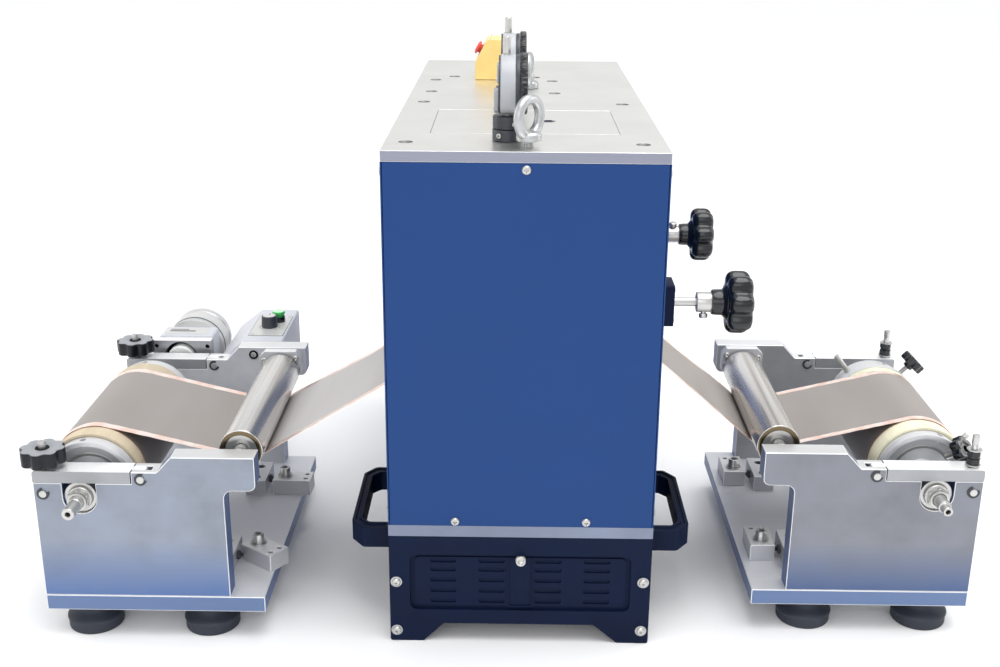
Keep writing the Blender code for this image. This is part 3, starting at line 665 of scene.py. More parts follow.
# near black for print, needles and black parts; also painted shade in holes and behind slots
NEAR_BLACK_AND_SHADE = moulded("black_and_painted_shade", srgb(18, 18, 20), rough=0.7, grain=900.0, depth=0.1, specular=0.2)
DIAL_WHITE = moulded("dial_white", srgb(238, 238, 234), rough=0.4, grain=500.0, depth=0.01)
BRONZE = brushed("bronze_ring", (0.20, 0.155, 0.095), rough=0.32, vary=0.1, depth=0.05)
CHROME = roller_material("plated_roller")
CORES = {"rewind": core_material("core_tan", srgb(198, 184, 158)),
         "unwind": core_material("core_cream", srgb(232, 228, 200))}
FOIL = foil_material("coated_foil")
WOUND = wound_material("wound_foil")


# ---------------------------------------------------------------- hardware, along local +z
def socket_screw(pos, axis, radius=6.5, height=8.0, key=3.6, sides=36):
    rings = [circle(radius, sides, 0), circle(radius, sides, height - 0.9),
             circle(radius - 0.3, sides, height - 0.35), circle(radius - 0.9, sides, height),
             hexagon(key + 0.35, sides, height), hexagon(key, sides, height - 0.4),
             hexagon(key, sides, height * 0.4), circle(0.4, sides, height * 0.4 - 0.8)]
    return loft(rings, place(pos, axis))


def button_screw(pos, axis, radius=5.0, height=2.9, key=1.7, sides=32):
    dome = ((1, 0), (0.94, height * 0.45), (0.78, height * 0.8), (0.55, height))
    rings = [circle(radius * scale, sides, z) for scale, z in dome]
    rings.insert(1, circle(radius, sides, 0.4))
    rings += [hexagon(key, sides, height), hexagon(key, sides, height * 0.2),
              circle(0.3, sides, height * 0.2 - 0.3)]
    return loft(rings, place(pos, axis))


def pan_screw(pos, axis, radius=4.6, height=2.6, sides=40):
    dome = ((1, 0), (1, 0.5), (0.93, height * 0.6), (0.75, height * 0.9), (0.6, height))
    rings = [circle(radius * scale, sides, z) for scale, z in dome]
    rings += [cross(radius * 0.52, radius * 0.14, sides, height),
              cross(radius * 0.40, radius * 0.10, sides, height * 0.25)]
    return loft(rings, place(pos, axis))


def washer(pos, axis, outer, inner, thick):
    return tube(inner, outer, 0, thick, pos, axis, 48, min(0.3, thick * 0.3))


def hex_nut(pos, axis, radius, height, bore=4.2, sides=48):
    rings = [circle(radius * 0.9, sides, 0), hexagon(radius, sides, 0.7),
             hexagon(radius, sides, height - 0.7), circle(radius * 0.9, sides, height),
             circle(bore + 0.5, sides, height), circle(bore, sides, height - 0.6),
             circle(bore, sides, 0.6), circle(bore + 0.5, sides, 0)]
    return loft(rings, place(pos, axis), closed=True)


def threaded(pos, axis, radius, length, pitch, sides, tip):
    root = radius - 0.55
    profile = [(0, 0), (root, 0)]
    z = 0.0
    while z + pitch < length - tip:
        profile += [(root, z + pitch * 0.15), (radius, z + pitch * 0.5), (root, z + pitch * 0.9)]
        z += pitch
    profile += [(root, length - tip), (radius - 1.2, length), (0, length)]
    return lathe(profile, place(pos, axis), sides)


def star_knob(pos, axis, outer, inner, lobes, low, high, ease, dish, bore, sides, twist=0.0):
    """a lobed grip with rounded edges and a dished middle on top"""
    def lobed(inset, z):
        def radius_at(a):
            wave = 0.5 + 0.5 * math.cos(lobes * a)
            return inner + (outer - inner) * (1 - (1 - wave) ** 1.6) - inset
        return polar_ring(radius_at, sides, z)

    hole = max(bore, 4.0)
    rings = [circle(hole, sides, low + 0.6), circle(inner * 0.62, sides, low + 0.3)]
    quarter = [math.pi / 2 * k / 5 for k in range(6)]
    rings += [lobed(ease * (1 - math.sin(t)), low + ease * (1 - math.cos(t))) for t in quarter]
    rings += [lobed(ease * (1 - math.cos(t)), high - ease * (1 - math.sin(t))) for t in quarter]
    rings.append(lobed(ease + 2.2, high + 0.15))
    for radius, z in ((inner * 0.55, high - dish * 0.2), (inner * 0.46, high - dish),
                      (hole + 2.4, high - dish), (hole, high - dish + 0.2)):
        rings.append(circle(radius, sides, z))
    return loft(rings, place(pos, axis, twist), closed=True)


def clipped_pin(pos, axis, twist):
    """a pin end and its open retaining clip"""
    radius = 4.0
    points = []
    for i in range(25):
        a = math.radians(40 + 280 * i / 24)
        points.append(((radius + 2.6) * math.cos(a), (radius + 2.6) * math.sin(a)))
    for i in range(25):
        a = math.radians(320 - 280 * i / 24)
        inner = radius + (0.15 if i % 6 else -0.3)
        points.append((inner * math.cos(a), inner * math.sin(a)))
    pin = rod(radius, -2, 2.0, pos, axis, 32, 0.5)
    return pin, extrude(points, 0.35, 1.15, place(pos, axis, twist))


# ---------------------------------------------------------------- press
ENDS = (("near", 0.0, -1, "-y"), ("far", LENGTH, 1, "y"))   # tag, y, outward sign, outward axis


def wall(side, start, end):
    """x range between two distances outside the side wall, in rising order"""
    return sorted((side * (HALF_WIDTH + start), side * (HALF_WIDTH + end)))


def base_housing():
    half = HALF_WIDTH
    outline = [(-half, 0), (-104, 0), (-82, 22), (80, 22), (106, 0), (half, 0),
               (half, 127), (-half, 127)]
    shell = slab(fillet(outline, [3, 2, 4, 4, 2, 3, 1, 1], 3), 0.3, LENGTH - 0.3)
    recess = rect(-118, 118.5, 38.7, 105.3, 9, 7)
    shell = cut(shell, slab(recess, -5, 4.3), slab(recess, LENGTH - 4.3, LENGTH + 5))
    shell = cut(shell, box(-128, 128, 12, LENGTH - 12, 26, 140))
    piece("base_housing_shell", shell, BLACK, replaces="base_housing", bevel=0.9, segments=3)


def louvres():
    panel_outline = rect(-113, 113.5, 43.2, 101.8, 7, 7)
    columns = [(-96, -68.4), (-44.4, -16.4), (16.1, 44.5), (68.2, 96.6)]
    rows = [97.7, 87.0, 74.4, 61.6, 49.0]
    slots = [(x0, x1, z) for x0, x1 in columns for z in rows]
    for tag, end_y, out, _ in ENDS:
        inward = -out
        face = end_y + inward * 2.6
        y0, y1 = sorted((face, face + inward * 2.6))
        holes = [slab(rect(x0, x1, z - 2.6, z + 2.6, 2.5, 4), y0 - 3, y1 + 3)
                 for x0, x1, z in slots]
        panel = cut(slab(panel_outline, y0, y1), *holes)
        piece("louvre_panel_" + tag, panel, BLACK, bevel=0.5)
        front = face + inward * 1.6
        back = front + inward * 4.2
        blades = [side_slab([(front, z - 2.4), (back, z + 0.9), (back, z + 1.9),
                             (front, z - 1.2)], x0 + 0.4, x1 - 0.4) for x0, x1, z in slots]
        piece("louvre_blades_" + tag, blades, BLACK)
        rim_span = (face - 1.4, face + 0.1) if tag == "near" else (face, face + 1.4)
        rim = cut(slab(rect(-13.4, 14.2, 42.6, 103.4, 3.5, 4), *rim_span),
                  slab(rect(-11.6, 12.4, 44, 104, 2.5, 4), face - 4, face + 4))
        piece("latch_rim_" + tag, rim, BLACK, bevel=0.4)
    # painted shade: dark sheets behind the louvre slots
    shade_sheets = [slab(panel_outline, 6.2, 7.4), slab(panel_outline, LENGTH - 7.4, LENGTH - 6.2)]
    piece("louvre_painted_shade", shade_sheets, NEAR_BLACK_AND_SHADE)
    plug = [(0, 0), (5.4, 0), (5.4, 3.0), (4.2, 3.4), (4.2, 8.5), (5.2, 9.0), (5.2, 11.0),
            (3.2, 11.6), (3.0, 9.8), (0, 9.4)]
    piece("latch_plug", turned(plug, (0.6, 3.0, 99), (0, -1, 0.35), 40, 0.4), BRIGHT)


def base_screws():
    screws, washers = [], []
    for x, z in ((-132.5, 72.7), (-132.8, 13.5), (132, 75), (131.8, 15.8)):
        for _, y, out, axis in ENDS:
            washers.append(washer((x, y - out * 0.2, z), axis, 6.2, 3.0, 1.0))
            screws.append(button_screw((x, y + out * 0.8, z), axis, 4.8))
    piece("base_screws", screws, BRIGHT)
    piece("base_washers", washers, TURNED)


# handle outlines: (distance outside the wall, y)
GRIP_OUTER = [(0.4, 47), (33, 47), (47, 66), (47, 186), (34, 204), (0.4, 204)]
GRIP_INNER = [(-5, 62), (27, 62), (36, 72), (36, 180), (27, 190), (-5, 190)]
GROOVE_OUTER = [(8, 51), (31, 51), (43, 67), (43, 185), (32, 200), (8, 200)]
GROOVE_INNER = [(2, 58), (29, 58), (39.5, 70.5), (39.5, 181.5), (29, 193.5), (2, 193.5)]


def handles():
    """a grooved rail bent round two chamfered corners, on each side"""
    for side, name in ((-1, "handle_left"), (1, "handle_right")):
        def sweep(points, end_radius, radius, steps, z0, z1):
            radii = [end_radius] + [radius] * 4 + [end_radius]
            curve = fillet([(HALF_WIDTH + x, y) for x, y in points], radii, steps)
            return extrude([(side * x, y) for x, y in curve], z0, z1)

        grip = cut(sweep(GRIP_OUTER, 0, 7, 6, 88, 112), sweep(GRIP_INNER, 0, 5, 6, 80, 120))
        groove = cut(sweep(GROOVE_OUTER, 2, 5, 5, 110.6, 116),
                     sweep(GROOVE_INNER, 0, 5, 5, 100, 120))
        pads = [box(*wall(side, 0.3, 3.3), y0, y1, 84, 116) for y0, y1 in ((42, 67), (185, 209))]
        piece(name + "_grip", cut(grip, groove), BLACK, replaces=name, bevel=1.8, segments=3,
              angle=40)
        piece(name + "_flanges", pads, BLACK, bevel=1.2, segments=3)


def cabinet():
    carry("bed_plate", STEEL, 0.6, 3)
    carry("end_panel_near", BLUE, 0.5, 3)
    carry("end_panel_far", BLUE, 0.5, 3)
    for side, name, axis in ((-1, "side_panel_left", "-x"), (1, "side_panel_right", "x")):
        around = wall(side, -4.5, 3)
        tools = [side_slab(rect(52, 266, 258, 316, 6, 6), *around)]
        if side > 0:
            tools += [drill(5.6, 0, 12, (HALF_WIDTH - 6, y, GAP_Z), "x", 40) for y in (60, 340)]
        # cooling slots low in the far half
        for z in range(176, 243, 11):
            tools.append(side_slab(rect(480, 600, z, z + 5, 2.4, 4), *around))
        sheet = side_slab(rect(0.3, LENGTH - 0.3, 140.4, 527.5), *wall(side, -1.5, 0))
        piece(name + "_sheet", cut(sheet, *tools), BLUE, replaces=name, bevel=0.4)
        trim = cut(side_slab(rect(49, 269, 255, 319, 8, 6), *wall(side, -1.8, 1.3)),
                   side_slab(rect(54, 264, 260, 314, 5, 6), *wall(side, -6, 6)))
        piece(name + "_slot_trim", trim, BLACK, bevel=0.4)
        screws = [pan_screw((side * HALF_WIDTH, y, z), axis, 4.2, 2.3)
                  for y in (14, 356, 699) for z in (152, 516)]
        piece(name + "_screws", screws, BRIGHT)
    for tag, y, _, axis in ENDS:
        screws = [pan_screw((x, y, z), axis, 4.7)
                  for x, z in ((0.9, 521), (-69.2, 145.4), (68.8, 146))]
        piece(tag + "_panel_screws", screws, BRIGHT)


def mains_inlet():
    inlet = cut(slab(rect(-100, -52, 160, 190, 3, 4), LENGTH, LENGTH + 2.5),
                slab(rect(-92, -60, 166, 184, 3, 4), LENGTH - 1, LENGTH + 6))
    piece("mains_inlet", inlet, GLOSS, bevel=0.5)
    socket = slab(rect(-92.2, -59.8, 165.8, 184.2, 3, 4), LENGTH + 0.05, LENGTH + 0.6)
    piece("mains_inlet_socket", socket, NEAR_BLACK_AND_SHADE)
    pins = [box(x - 1, x + 1, LENGTH + 0.5, LENGTH + 2.3, 172, 178) for x in (-84, -76, -68)]
    piece("mains_inlet_pins", pins, BRIGHT, bevel=0.2, segments=1)


TOP_SCREWS = [                                      # x, y
    (-118.7, 48), (116.2, 44), (115.6, 301.6), (-118.5, 309), (-115, 394.6), (-116, 500.4),
    (-92.5, 534.9), (37.8, 496.1), (38.1, 386.3), (15.2, 531.1)]


def top_plate():
    plate = extrude(rect(-HALF_WIDTH, HALF_WIDTH, 0, LENGTH, 2.0, 4), TOP_Z - 10.8, TOP_Z)
    plate = cut(plate, box(-98, 98, 98, 251, TOP_Z - 5, TOP_Z + 5))
    sink = [(3.4, -8), (3.4, -4.6), (7.9, 0.02), (7.9, 3)]
    head = [(0, -5.3), (3.5, -5.3), (7.8, -0.12), (7.45, -0.12), (3.3, -4.7), (2.6, -4.9),
            (0, -4.9)]
    sinks, heads = ([lathe(profile, place((x, y, TOP_Z)), 36) for x, y in TOP_SCREWS]
                    for profile in (sink, head))
    piece("top_plate_ground", cut(plate, *sinks), TOP, replaces="top_plate", bevel=0.7,
          segments=3, lit_bevels=True)
    piece("top_plate_screws", heads, SINK)


def top_hatch():
    def finger_cup(radius, high):
        points = [(24.8 + x, 178 + y) for x, y, _ in circle(radius, 32)]
        return extrude(points, TOP_Z - 2.4, high)

    hatch = extrude(rect(-97.4, 97.4, 98.6, 250.4, 1.5, 4), TOP_Z - 4.7, TOP_Z)
    piece("top_hatch_lid", cut(hatch, finger_cup(8.5, TOP_Z + 3)), TOP, replaces="top_hatch",
          bevel=0.3)
    seam = cut(box(-98.1, 98.1, 97.9, 251.1, TOP_Z - 4.9, TOP_Z - 0.7),
               box(-97.5, 97.5, 98.5, 250.5, TOP_Z - 6, TOP_Z + 1))
    piece("top_hatch_seam", seam, GUN, bevel=0.1, segments=1)
    piece("hatch_finger_cup", finger_cup(8.4, TOP_Z - 1.9), GUN)


def rolls():
    carry("lower_roll", CHROME, 0.8, 3)
    carry("upper_roll", CHROME, 0.8, 3)
    carry("roll_frame", IRON, 1.0, 2)
    carry("roll_carriage", IRON, 0.8, 2)
    carry("drive_gearmotor", GREY, 1.5, 3)
    x, z, radius = TURN_BAR
    sleeve = tube(radius + 0.02, radius + 0.25, 70.3, 259.7, (x, 0, z), "y", 64, 0.05)
    piece("turn_bar_sleeve", sleeve, CHROME)


def gap_handwheel(tag, y, thumb_side):
    """one handwheel outside the +x wall with its bearing block"""
    def along_x(x):
        return (x, y, GAP_Z), "x"

    block = side_slab(rect(y - 18, y + 18, 350, 394, 3, 4), *wall(1, 0.1, 15))
    block = cut(block, drill(5.6, 0, 30, *along_x(HALF_WIDTH - 5), 40))
    piece("gap_block_" + tag, block, BLACK, bevel=1.0, segments=3)
    screws = [socket_screw((HALF_WIDTH + 12.4, y + across, GAP_Z + up), "x", 3.6, 3.2, 1.9, 28)
              for across in (-12, 12) for up in (-16, 16)]
    piece("gap_block_screws_" + tag, screws, GUN)
    piece("gap_bush_" + tag, washer(*along_x(HALF_WIDTH + 14.6), 8.2, 5.3, 1.6), TURNED)
    body = "gap_wheel_" + tag
    piece("gap_shaft_" + tag, rod(4.6, 0, 92, *along_x(112), 40, 0.8), TURNED, body)
    piece("gap_collar_" + tag, tube(4.7, 10.6, 0, 15.4, *along_x(179.6), 56, 0.9), BRIGHT, body)
    thumb = [(0, 0), (2.6, 0), (2.6, 2.2), (4.6, 2.4), (4.6, 6.2), (3.4, 7.4), (0, 7.6)]
    thumb = turned(thumb, (187, y - 3, GAP_Z + thumb_side * 9.0), (0, -0.25, thumb_side), 32,
                   0.5)
    piece("gap_thumbscrew_" + tag, thumb, BRIGHT, body)
    hub = [(0, 0), (13.0, 0), (13.6, 6), (13.6, 11), (18.5, 15), (18.5, 20), (0, 20)]
    piece("gap_hub_" + tag, turned(hub, *along_x(195), 72, 1.2), GLOSS, body)
    star = star_knob(*along_x(210), 33.0, 27.0, 7, 0.0, 25.6, ease=8.5, dish=3.0, bore=5.0,
                     sides=196, twist=13.0)
    piece("gap_star_" + tag, star, GLOSS, body, body, angle=60)
    cap = turned([(0, 0), (10, 0), (9.2, 1.8), (0, 2.6)], *along_x(232.4), 48, 0.6)
    piece("gap_star_cap_" + tag, cap, GUN, body)


def lifting_eye(tag, x, y, seat, angle):
    """a ring, fuller near its collar, standing on the top plate"""
    rings = []
    for i in range(72):
        a = 2 * math.pi * i / 72
        thick = 5.0 + 0.9 * max(0.0, -math.sin(a)) ** 3
        rings.append([((17.5 + reach) * math.cos(a), (17.5 + reach) * math.sin(a), height)
                      for reach, height, _ in circle(thick, 24)])
    turn = (Matrix.Translation(Vector((x, y, seat + 22.5)))
            @ Matrix.Rotation(math.radians(angle), 4, "Z")
            @ Matrix.Rotation(math.radians(90), 4, "X"))
    ring = loft(rings, turn, closed=True)
    collar = turned([(0, 0), (12.5, 0), (12.5, 6.4), (9.5, 9.2), (0, 9.6)], (x, y, seat),
                    ease=1.2)
    piece("eye_ring_" + tag, join(ring, collar), SATIN, replaces="eyebolt_" + tag, angle=50)
    if seat > TOP_Z + 1:
        shank = threaded((x, y, TOP_Z - 2), "z", 5.0, seat - TOP_Z + 3, 1.5, 40, 0.5)
        piece("eye_shank_" + tag, shank, TURNED)


def emergency_stop():
    slope = math.atan2(28, 15)
    normal = Vector((-math.sin(slope), 0, math.cos(slope)))
    face = Vector((-56.2, 530, 575.6))
    outline = [(-64, 538.9), (-6, 538.9), (-6, 588), (-9, 591), (-46, 591), (-49, 589),
               (-64, 561)]
    case = slab(fillet(outline, [1, 1, 4, 4, 7, 7, 5], 6), 502, 558)
    case = cut(case, drill(7.3, -14, 6, face, normal, 40))
    piece("estop_case", case, YELLOW, replaces="estop_box", bevel=4.5, segments=5, angle=40)
    collar = rounded([(7.0, -0.5), (9.6, -0.5), (9.2, 0.3), (7.0, 0.3), (7.0, -0.5)], 0.1)
    piece("estop_collar", lathe(collar[:-1], place(face, normal), 48, closed=True), GUN)
    cap = [(0, -8), (5.9, -8), (5.9, 3.4), (8.3, 3.5), (8.8, 4.2), (8.7, 5.6), (7.8, 6.7),
           (5.5, 7.4), (0, 7.7)]
    piece("estop_mushroom", turned(cap, face, normal, 72, 0.7), RED, "estop_button",
          "estop_button", angle=50)
    screws = [button_screw((x, y, 591), "z", 2.6, 1.4, 0.9, 24)
              for x in (-42, -12) for y in (508, 552)]
    piece("estop_case_screws", screws, BRIGHT)
    gland = [(0, 0), (7.5, 0), (7.5, 5), (6, 6), (6, 11), (3.2, 12), (3.2, 16), (0, 16)]
    piece("estop_cable_gland", turned(gland, (-20, 558, 560), "y", 48, 0.5), GUN)


# ---------------------------------------------------------------- dial indicators
GAUGE_X, DIAL_Z = -17.7, 594.5


def gauge_mount(tag, y):
    """stacked clamp rings and the stem between top plate and case"""
    centre = (GAUGE_X, y, 0)
    lower = rod(15.5, TOP_Z + 0.3, TOP_Z + 11.6, centre, "z", 72, 1.0)
    piece("gauge_clamp_lower_" + tag, lower, GUN, replaces="gauge_body_" + tag, angle=40)
    upper = rod(15.2, TOP_Z + 12.3, TOP_Z + 24.6, centre, "z", 72, 1.0)
    piece("gauge_clamp_upper_" + tag, upper, GUN, angle=40)
    neck = rod(13.5, 0, 1.4, (GAUGE_X, y, TOP_Z + 11.3), "z", 64, 0.2)
    piece("gauge_clamp_neck_" + tag, neck, NEAR_BLACK_AND_SHADE)
    screws = [socket_screw((GAUGE_X - 8.5, y - 12.6, TOP_Z + 6.0), (-0.5, -0.85, 0),
                           2.6, 2.0, 1.4, 24),
              socket_screw((GAUGE_X + 6.5, y - 13.6, TOP_Z + 17.5), (0.4, -0.9, 0),
                           2.6, 1.4, 1.4, 24)]
    piece("gauge_clamp_screws_" + tag, screws, BRIGHT)
    stem = rod(4, 0, 10, (GAUGE_X, y, 560.5), "z", 40, 0.3)
    piece("gauge_stem_" + tag, stem, TURNED)


def gauge_case(tag, y):
    centre = (0, y, 593.6)
    case = [(0, -25.6), (27.6, -25.6), (29, -24.2), (29, -11.2), (27.6, -9.9), (0, -9.9)]
    piece("gauge_case_" + tag, turned(case, centre, "x", 96), GAUGE, angle=40)
    back = tube(20, 28.2, -27.0, -25.4, centre, "x", 96, 0.3)
    piece("gauge_backring_" + tag, back, GUN)
    lug = cut(side_slab(rect(y - 7, y + 7, 566, 590, 6.0, 6), -31.7, -27.4),
              drill(3, 0, 12, (-35, y, 583), "x"))
    piece("gauge_lug_" + tag, lug, GAUGE, bevel=0.6)
    screw = pan_screw((-31.7, y, 571), "-x", 2.2, 1.1, 28)
    piece("gauge_lug_screws_" + tag, screw, BRIGHT)
    neck = tube(22, 28.4, -9.9, -6.2, (0, y, 594.0), "x", 96, 0.4)
    piece("gauge_neckring_" + tag, neck, GUN)


def gauge_face(tag, y, needle_angle):
    sides = 160
    centre = (0, y, DIAL_Z)
    bezel = "gauge_bezel_" + tag

    def knurl(radius, z):
        ring = []
        for i in range(sides):
            a = 2 * math.pi * i / sides
            depth = radius - (0.75 if (i // 2) % 2 else 0.0)
            ring.append((depth * math.cos(a), depth * math.sin(a), z))
        return ring

    rings = [circle(24.5, sides, -5.9), circle(28.6, sides, -5.9),
             knurl(29.6, -5.2), knurl(30.0, -4.4), knurl(30.0, 0.2), knurl(29.3, 1.0),
             circle(28.2, sides, 1.5), circle(26.4, sides, 1.6), circle(25.2, sides, 0.2),
             circle(24.5, sides, -2.0)]
    ring = loft(rings, place(centre, "x"), closed=True)
    piece("gauge_bezel_ring_" + tag, ring, GLOSS, bezel, bezel, angle=28)
    dial = rod(24.4, -5.6, -3.0, centre, "x", 96, 0.2)
    piece("gauge_dial_" + tag, dial, DIAL_WHITE, bezel)
    ticks = []
    for i in range(100):
        start, half = (17.5, 0.28) if i % 10 == 0 else (19.6, 0.16) if i % 5 == 0 \
            else (20.8, 0.10)
        ticks.append(extrude(rect(start, 22.8, -half, half), -3.0, -2.86,
                             place(centre, "x", 3.6 * i)))
    piece("gauge_ticks_" + tag, ticks, NEAR_BLACK_AND_SHADE, bezel)
    outline = [(-6, -0.8), (-6, 0.8), (0, 0.9), (20, 0.15), (20, -0.15), (0, -0.9)]
    needle = extrude(outline, -2.4, -2.1, place(centre, "x", needle_angle))
    hub = turned([(0, -2.9), (1.8, -2.9), (1.8, -1.7), (0, -1.5)], centre, "x", 24, 0.2)
    piece("gauge_needle_" + tag, [needle, hub], NEAR_BLACK_AND_SHADE)
    spindle = (GAUGE_X - 1.5, y, 0)
    cap = turned([(0, 623.2), (3.9, 623.2), (3.9, 639.2), (3.3, 640), (0, 640)], spindle, "z",
                 48, 0.5)
    piece("gauge_cap_" + tag, cap, BRIGHT, "gauge_spindle_" + tag, "gauge_spindle_" + tag)
    piece("gauge_topnut_" + tag, rod(5.2, 621.5, 623.1, spindle, "z", 40, 0.2), BRIGHT)


# ---------------------------------------------------------------- stands
class Stand:
    """places parts by u inward from the outer edge, y from the near face, and z"""

    def __init__(self, name):
        self.name = name
        self.outer_x, self.inward, self.near_y = STANDS[name]
        self.inward_axis = "x" if self.inward > 0 else "-x"

    def at(self, u, y, z):
        return (self.outer_x + self.inward * u, self.near_y + y, z)

    def slab(self, outline, y0, y1):
        """outline (u, z) swept along y"""
        points = [(self.outer_x + self.inward * u, z) for u, z in outline]
        if self.inward < 0:
            points.reverse()
        return slab(points, self.near_y + y0, self.near_y + y1)

    def box(self, u0, u1, y0, y1, z0, z1):
        xs = sorted((self.at(u0, 0, 0)[0], self.at(u1, 0, 0)[0]))
        return box(*xs, self.near_y + y0, self.near_y + y1, z0, z1)

    def piece(self, part, meshes, material, body=None, replaces=None, **finish):
        """like piece(), with the stand's name before part, body and replaces"""
        prefix = self.name + "_"
        piece(prefix + part, meshes, material, prefix + body if body else "machine",
              prefix + replaces if replaces else None, **finish)


FOOT = [(0, 0), (28.8, 0), (29.6, 1.6), (29.6, 10.8), (30.6, 11.4), (30.6, 13.6), (28.6, 15.2),
        (24, 17.6), (20.4, 20.2), (18.8, 23), (18.4, 26), (0, 26)]


def stand_base(stand):
    base = stand.box(0, 237, 0, STAND_DEPTH, 33, BASE_TOP)
    tapped = [drill(2.6, -9, 1, stand.at(150, y, BASE_TOP), "z", 20) for y in (60, 300)]
    stand.piece("base_plate", cut(base, *tapped), STAND_BASE, replaces="base", bevel=0.9,
                segments=3, lit_bevels=True)
    spots = [stand.at(u, y, 0) for u in (41, 171) for y in (32, 334)]
    feet = [turned(FOOT, spot, "z", 72, 1.0) for spot in spots]
    stand.piece("feet", feet, RUBBER, angle=50)
    stand.piece("foot_nuts", [rod(12, 26, 33.2, spot, "z", 48, 0.5) for spot in spots], TURNED)


def arm_outline():
    """(u, z) of an arm plate: inner elbow, raised nose, and the reel bearing's open seat"""
    quarter = [k * math.pi / 12 for k in range(7)]
    elbow = [(200 + 9 * (1 - math.cos(t)), 168 + 9 * math.sin(t)) for t in quarter]
    nose = [(226.5 + 7.5 * math.sin(t), 184.5 - 7.5 * math.cos(t)) for t in quarter]
    seat = [(REEL_U + 17.7 * math.cos(math.radians(a)),
             REEL_Z + 17.7 * math.sin(math.radians(a))) for a in range(0, -181, -6)]
    return ([(0, 51.2), (200, 51.2)] + elbow + nose
            + [(234, 215), (147, 215), (131, 197.5), (104, 197.5), (104, 184.1), (65.7, 184.1)]
            + seat + [(30.3, 184.1), (0, 184.1)])


def arm_plate(stand, tag, near, far):
    middle = (near + far) / 2
    # slots for the swing bolt and for the clamp bar's hinge tongue
    slots = [stand.box(-3, 19, middle - 5.6, middle + 5.6, 160, 200),
             stand.box(101, 124, middle - 4.6, middle + 4.6, 181, 204)]
    plate = cut(stand.slab(arm_outline(), near, far), *slots)
    stand.piece(f"plate_{tag}_body", plate, STAND_PLATES[f"{stand.name}_{tag}"],
                replaces="plate_" + tag, bevel=0.8, segments=3, lit_bevels=True)
    bar = stand.slab(rect(0, 103, 184.4, 197.5, [2.0, 0.8, 0.8, 3.0], 4), near, far)
    bar = cut(bar, stand.box(-3, 16, middle - 5.6, middle + 5.6, 180, 202))
    tongue = stand.slab(rect(100, 119, 184.8, 197.2, [0, 5.5, 5.5, 0], 5),
                        middle - 4.2, middle + 4.2)
    stand.piece(f"bar_{tag}_body", join(bar, tongue), BARS, replaces="bar_" + tag, bevel=0.7,
                segments=3, lit_bevels=True)
    pairs = [clipped_pin(stand.at(u, y, z), axis, twist)
             for u, z, twist in ((114, 189.5, 25), (BOLT_U, 172, 60))
             for y, axis in ((near, "-y"), (far, "y"))]
    stand.piece("pins_" + tag, [pin for pin, _ in pairs], BRIGHT)
    stand.piece("clips_" + tag, [clip for _, clip in pairs], GUN)
    bearing = tube(11.6, 17.3, 0, 18, stand.at(REEL_U, near + 3, REEL_Z), "y", 80, 0.9)
    stand.piece("bearing_" + tag, bearing, BRIGHT)
    shields = [tube(9.4, 11.7, 0, 0.6, stand.at(REEL_U, near + y, REEL_Z), "y", 64, 0.1)
               for y in (3.8, 19.6)]
    stand.piece("bearing_shields_" + tag, shields, GUN)


def swing_bolt(stand, tag, middle):
    foot = stand.at(BOLT_U, middle, 0)
    bolt = "bolt_" + tag
    thread_length, tip = (21.0, 227.5) if stand.name == "rewind" else (27.0, 234.0)
    eye = rod(7, -5, 5, stand.at(BOLT_U, middle, 172), "y", 40)
    shank = rod(3.9, 172, 202, foot, "z", 32, 0.3)
    thread = threaded(stand.at(BOLT_U, middle, 200), "z", 4.0, thread_length, 1.25, 30, 1.2)
    end = turned([(0, tip - 11), (4.05, tip - 11), (4.05, tip - 0.4), (0, tip)], foot, "z",
                 40, 1.0)
    stand.piece(bolt + "_body", [eye, shank, join(thread, end)], BRIGHT, bolt, bolt)
    if stand.name == "unwind":
        nuts = [hex_nut(stand.at(BOLT_U, middle, z), "z", 7.6, 6.8) for z in (200.4, 209.6)]
        nuts.append(tube(4.2, 6.0, 206.8, 210.0, foot, "z", 40, 0.3))
        stand.piece("nuts_" + tag, nuts, GLOSS, bolt)
        washers = [tube(4.2, 8.2, z, z + 1.1, foot, "z", 40, 0.3) for z in (199.2, 216.4)]
        stand.piece("washers_" + tag, washers, BRIGHT, bolt)
        return
    knob = "knob_" + tag
    star = star_knob(foot, "z", 23.9, 20.6, 8, 203.2, 220.0, ease=1.8, dish=0.8, bore=4.3,
                     sides=192)
    stand.piece(knob + "_star", star, KNOB, knob, knob, angle=60)
    hub = [(4.3, 199.3), (12.4, 199.3), (13.2, 200.5), (14.2, 204.5), (4.3, 204.5)]
    stand.piece(knob + "_hub", turned(hub, foot, "z", 64, 0.8, closed=True), GLOSS, knob)
    stand.piece(knob + "_insert", tube(4.3, 7.4, 217.0, 219.75, foot, "z", 40, 0.2), NEAR_BLACK_AND_SHADE, knob)


# flange that holds the guide roller: (u, z) about the roller axis
FLANGE = [(-25.5, -16), (-25.5, 18.5), (-19, 25.3), (19.5, 25.3), (25.5, 18.5), (25.5, -3),
          (14, -16)]


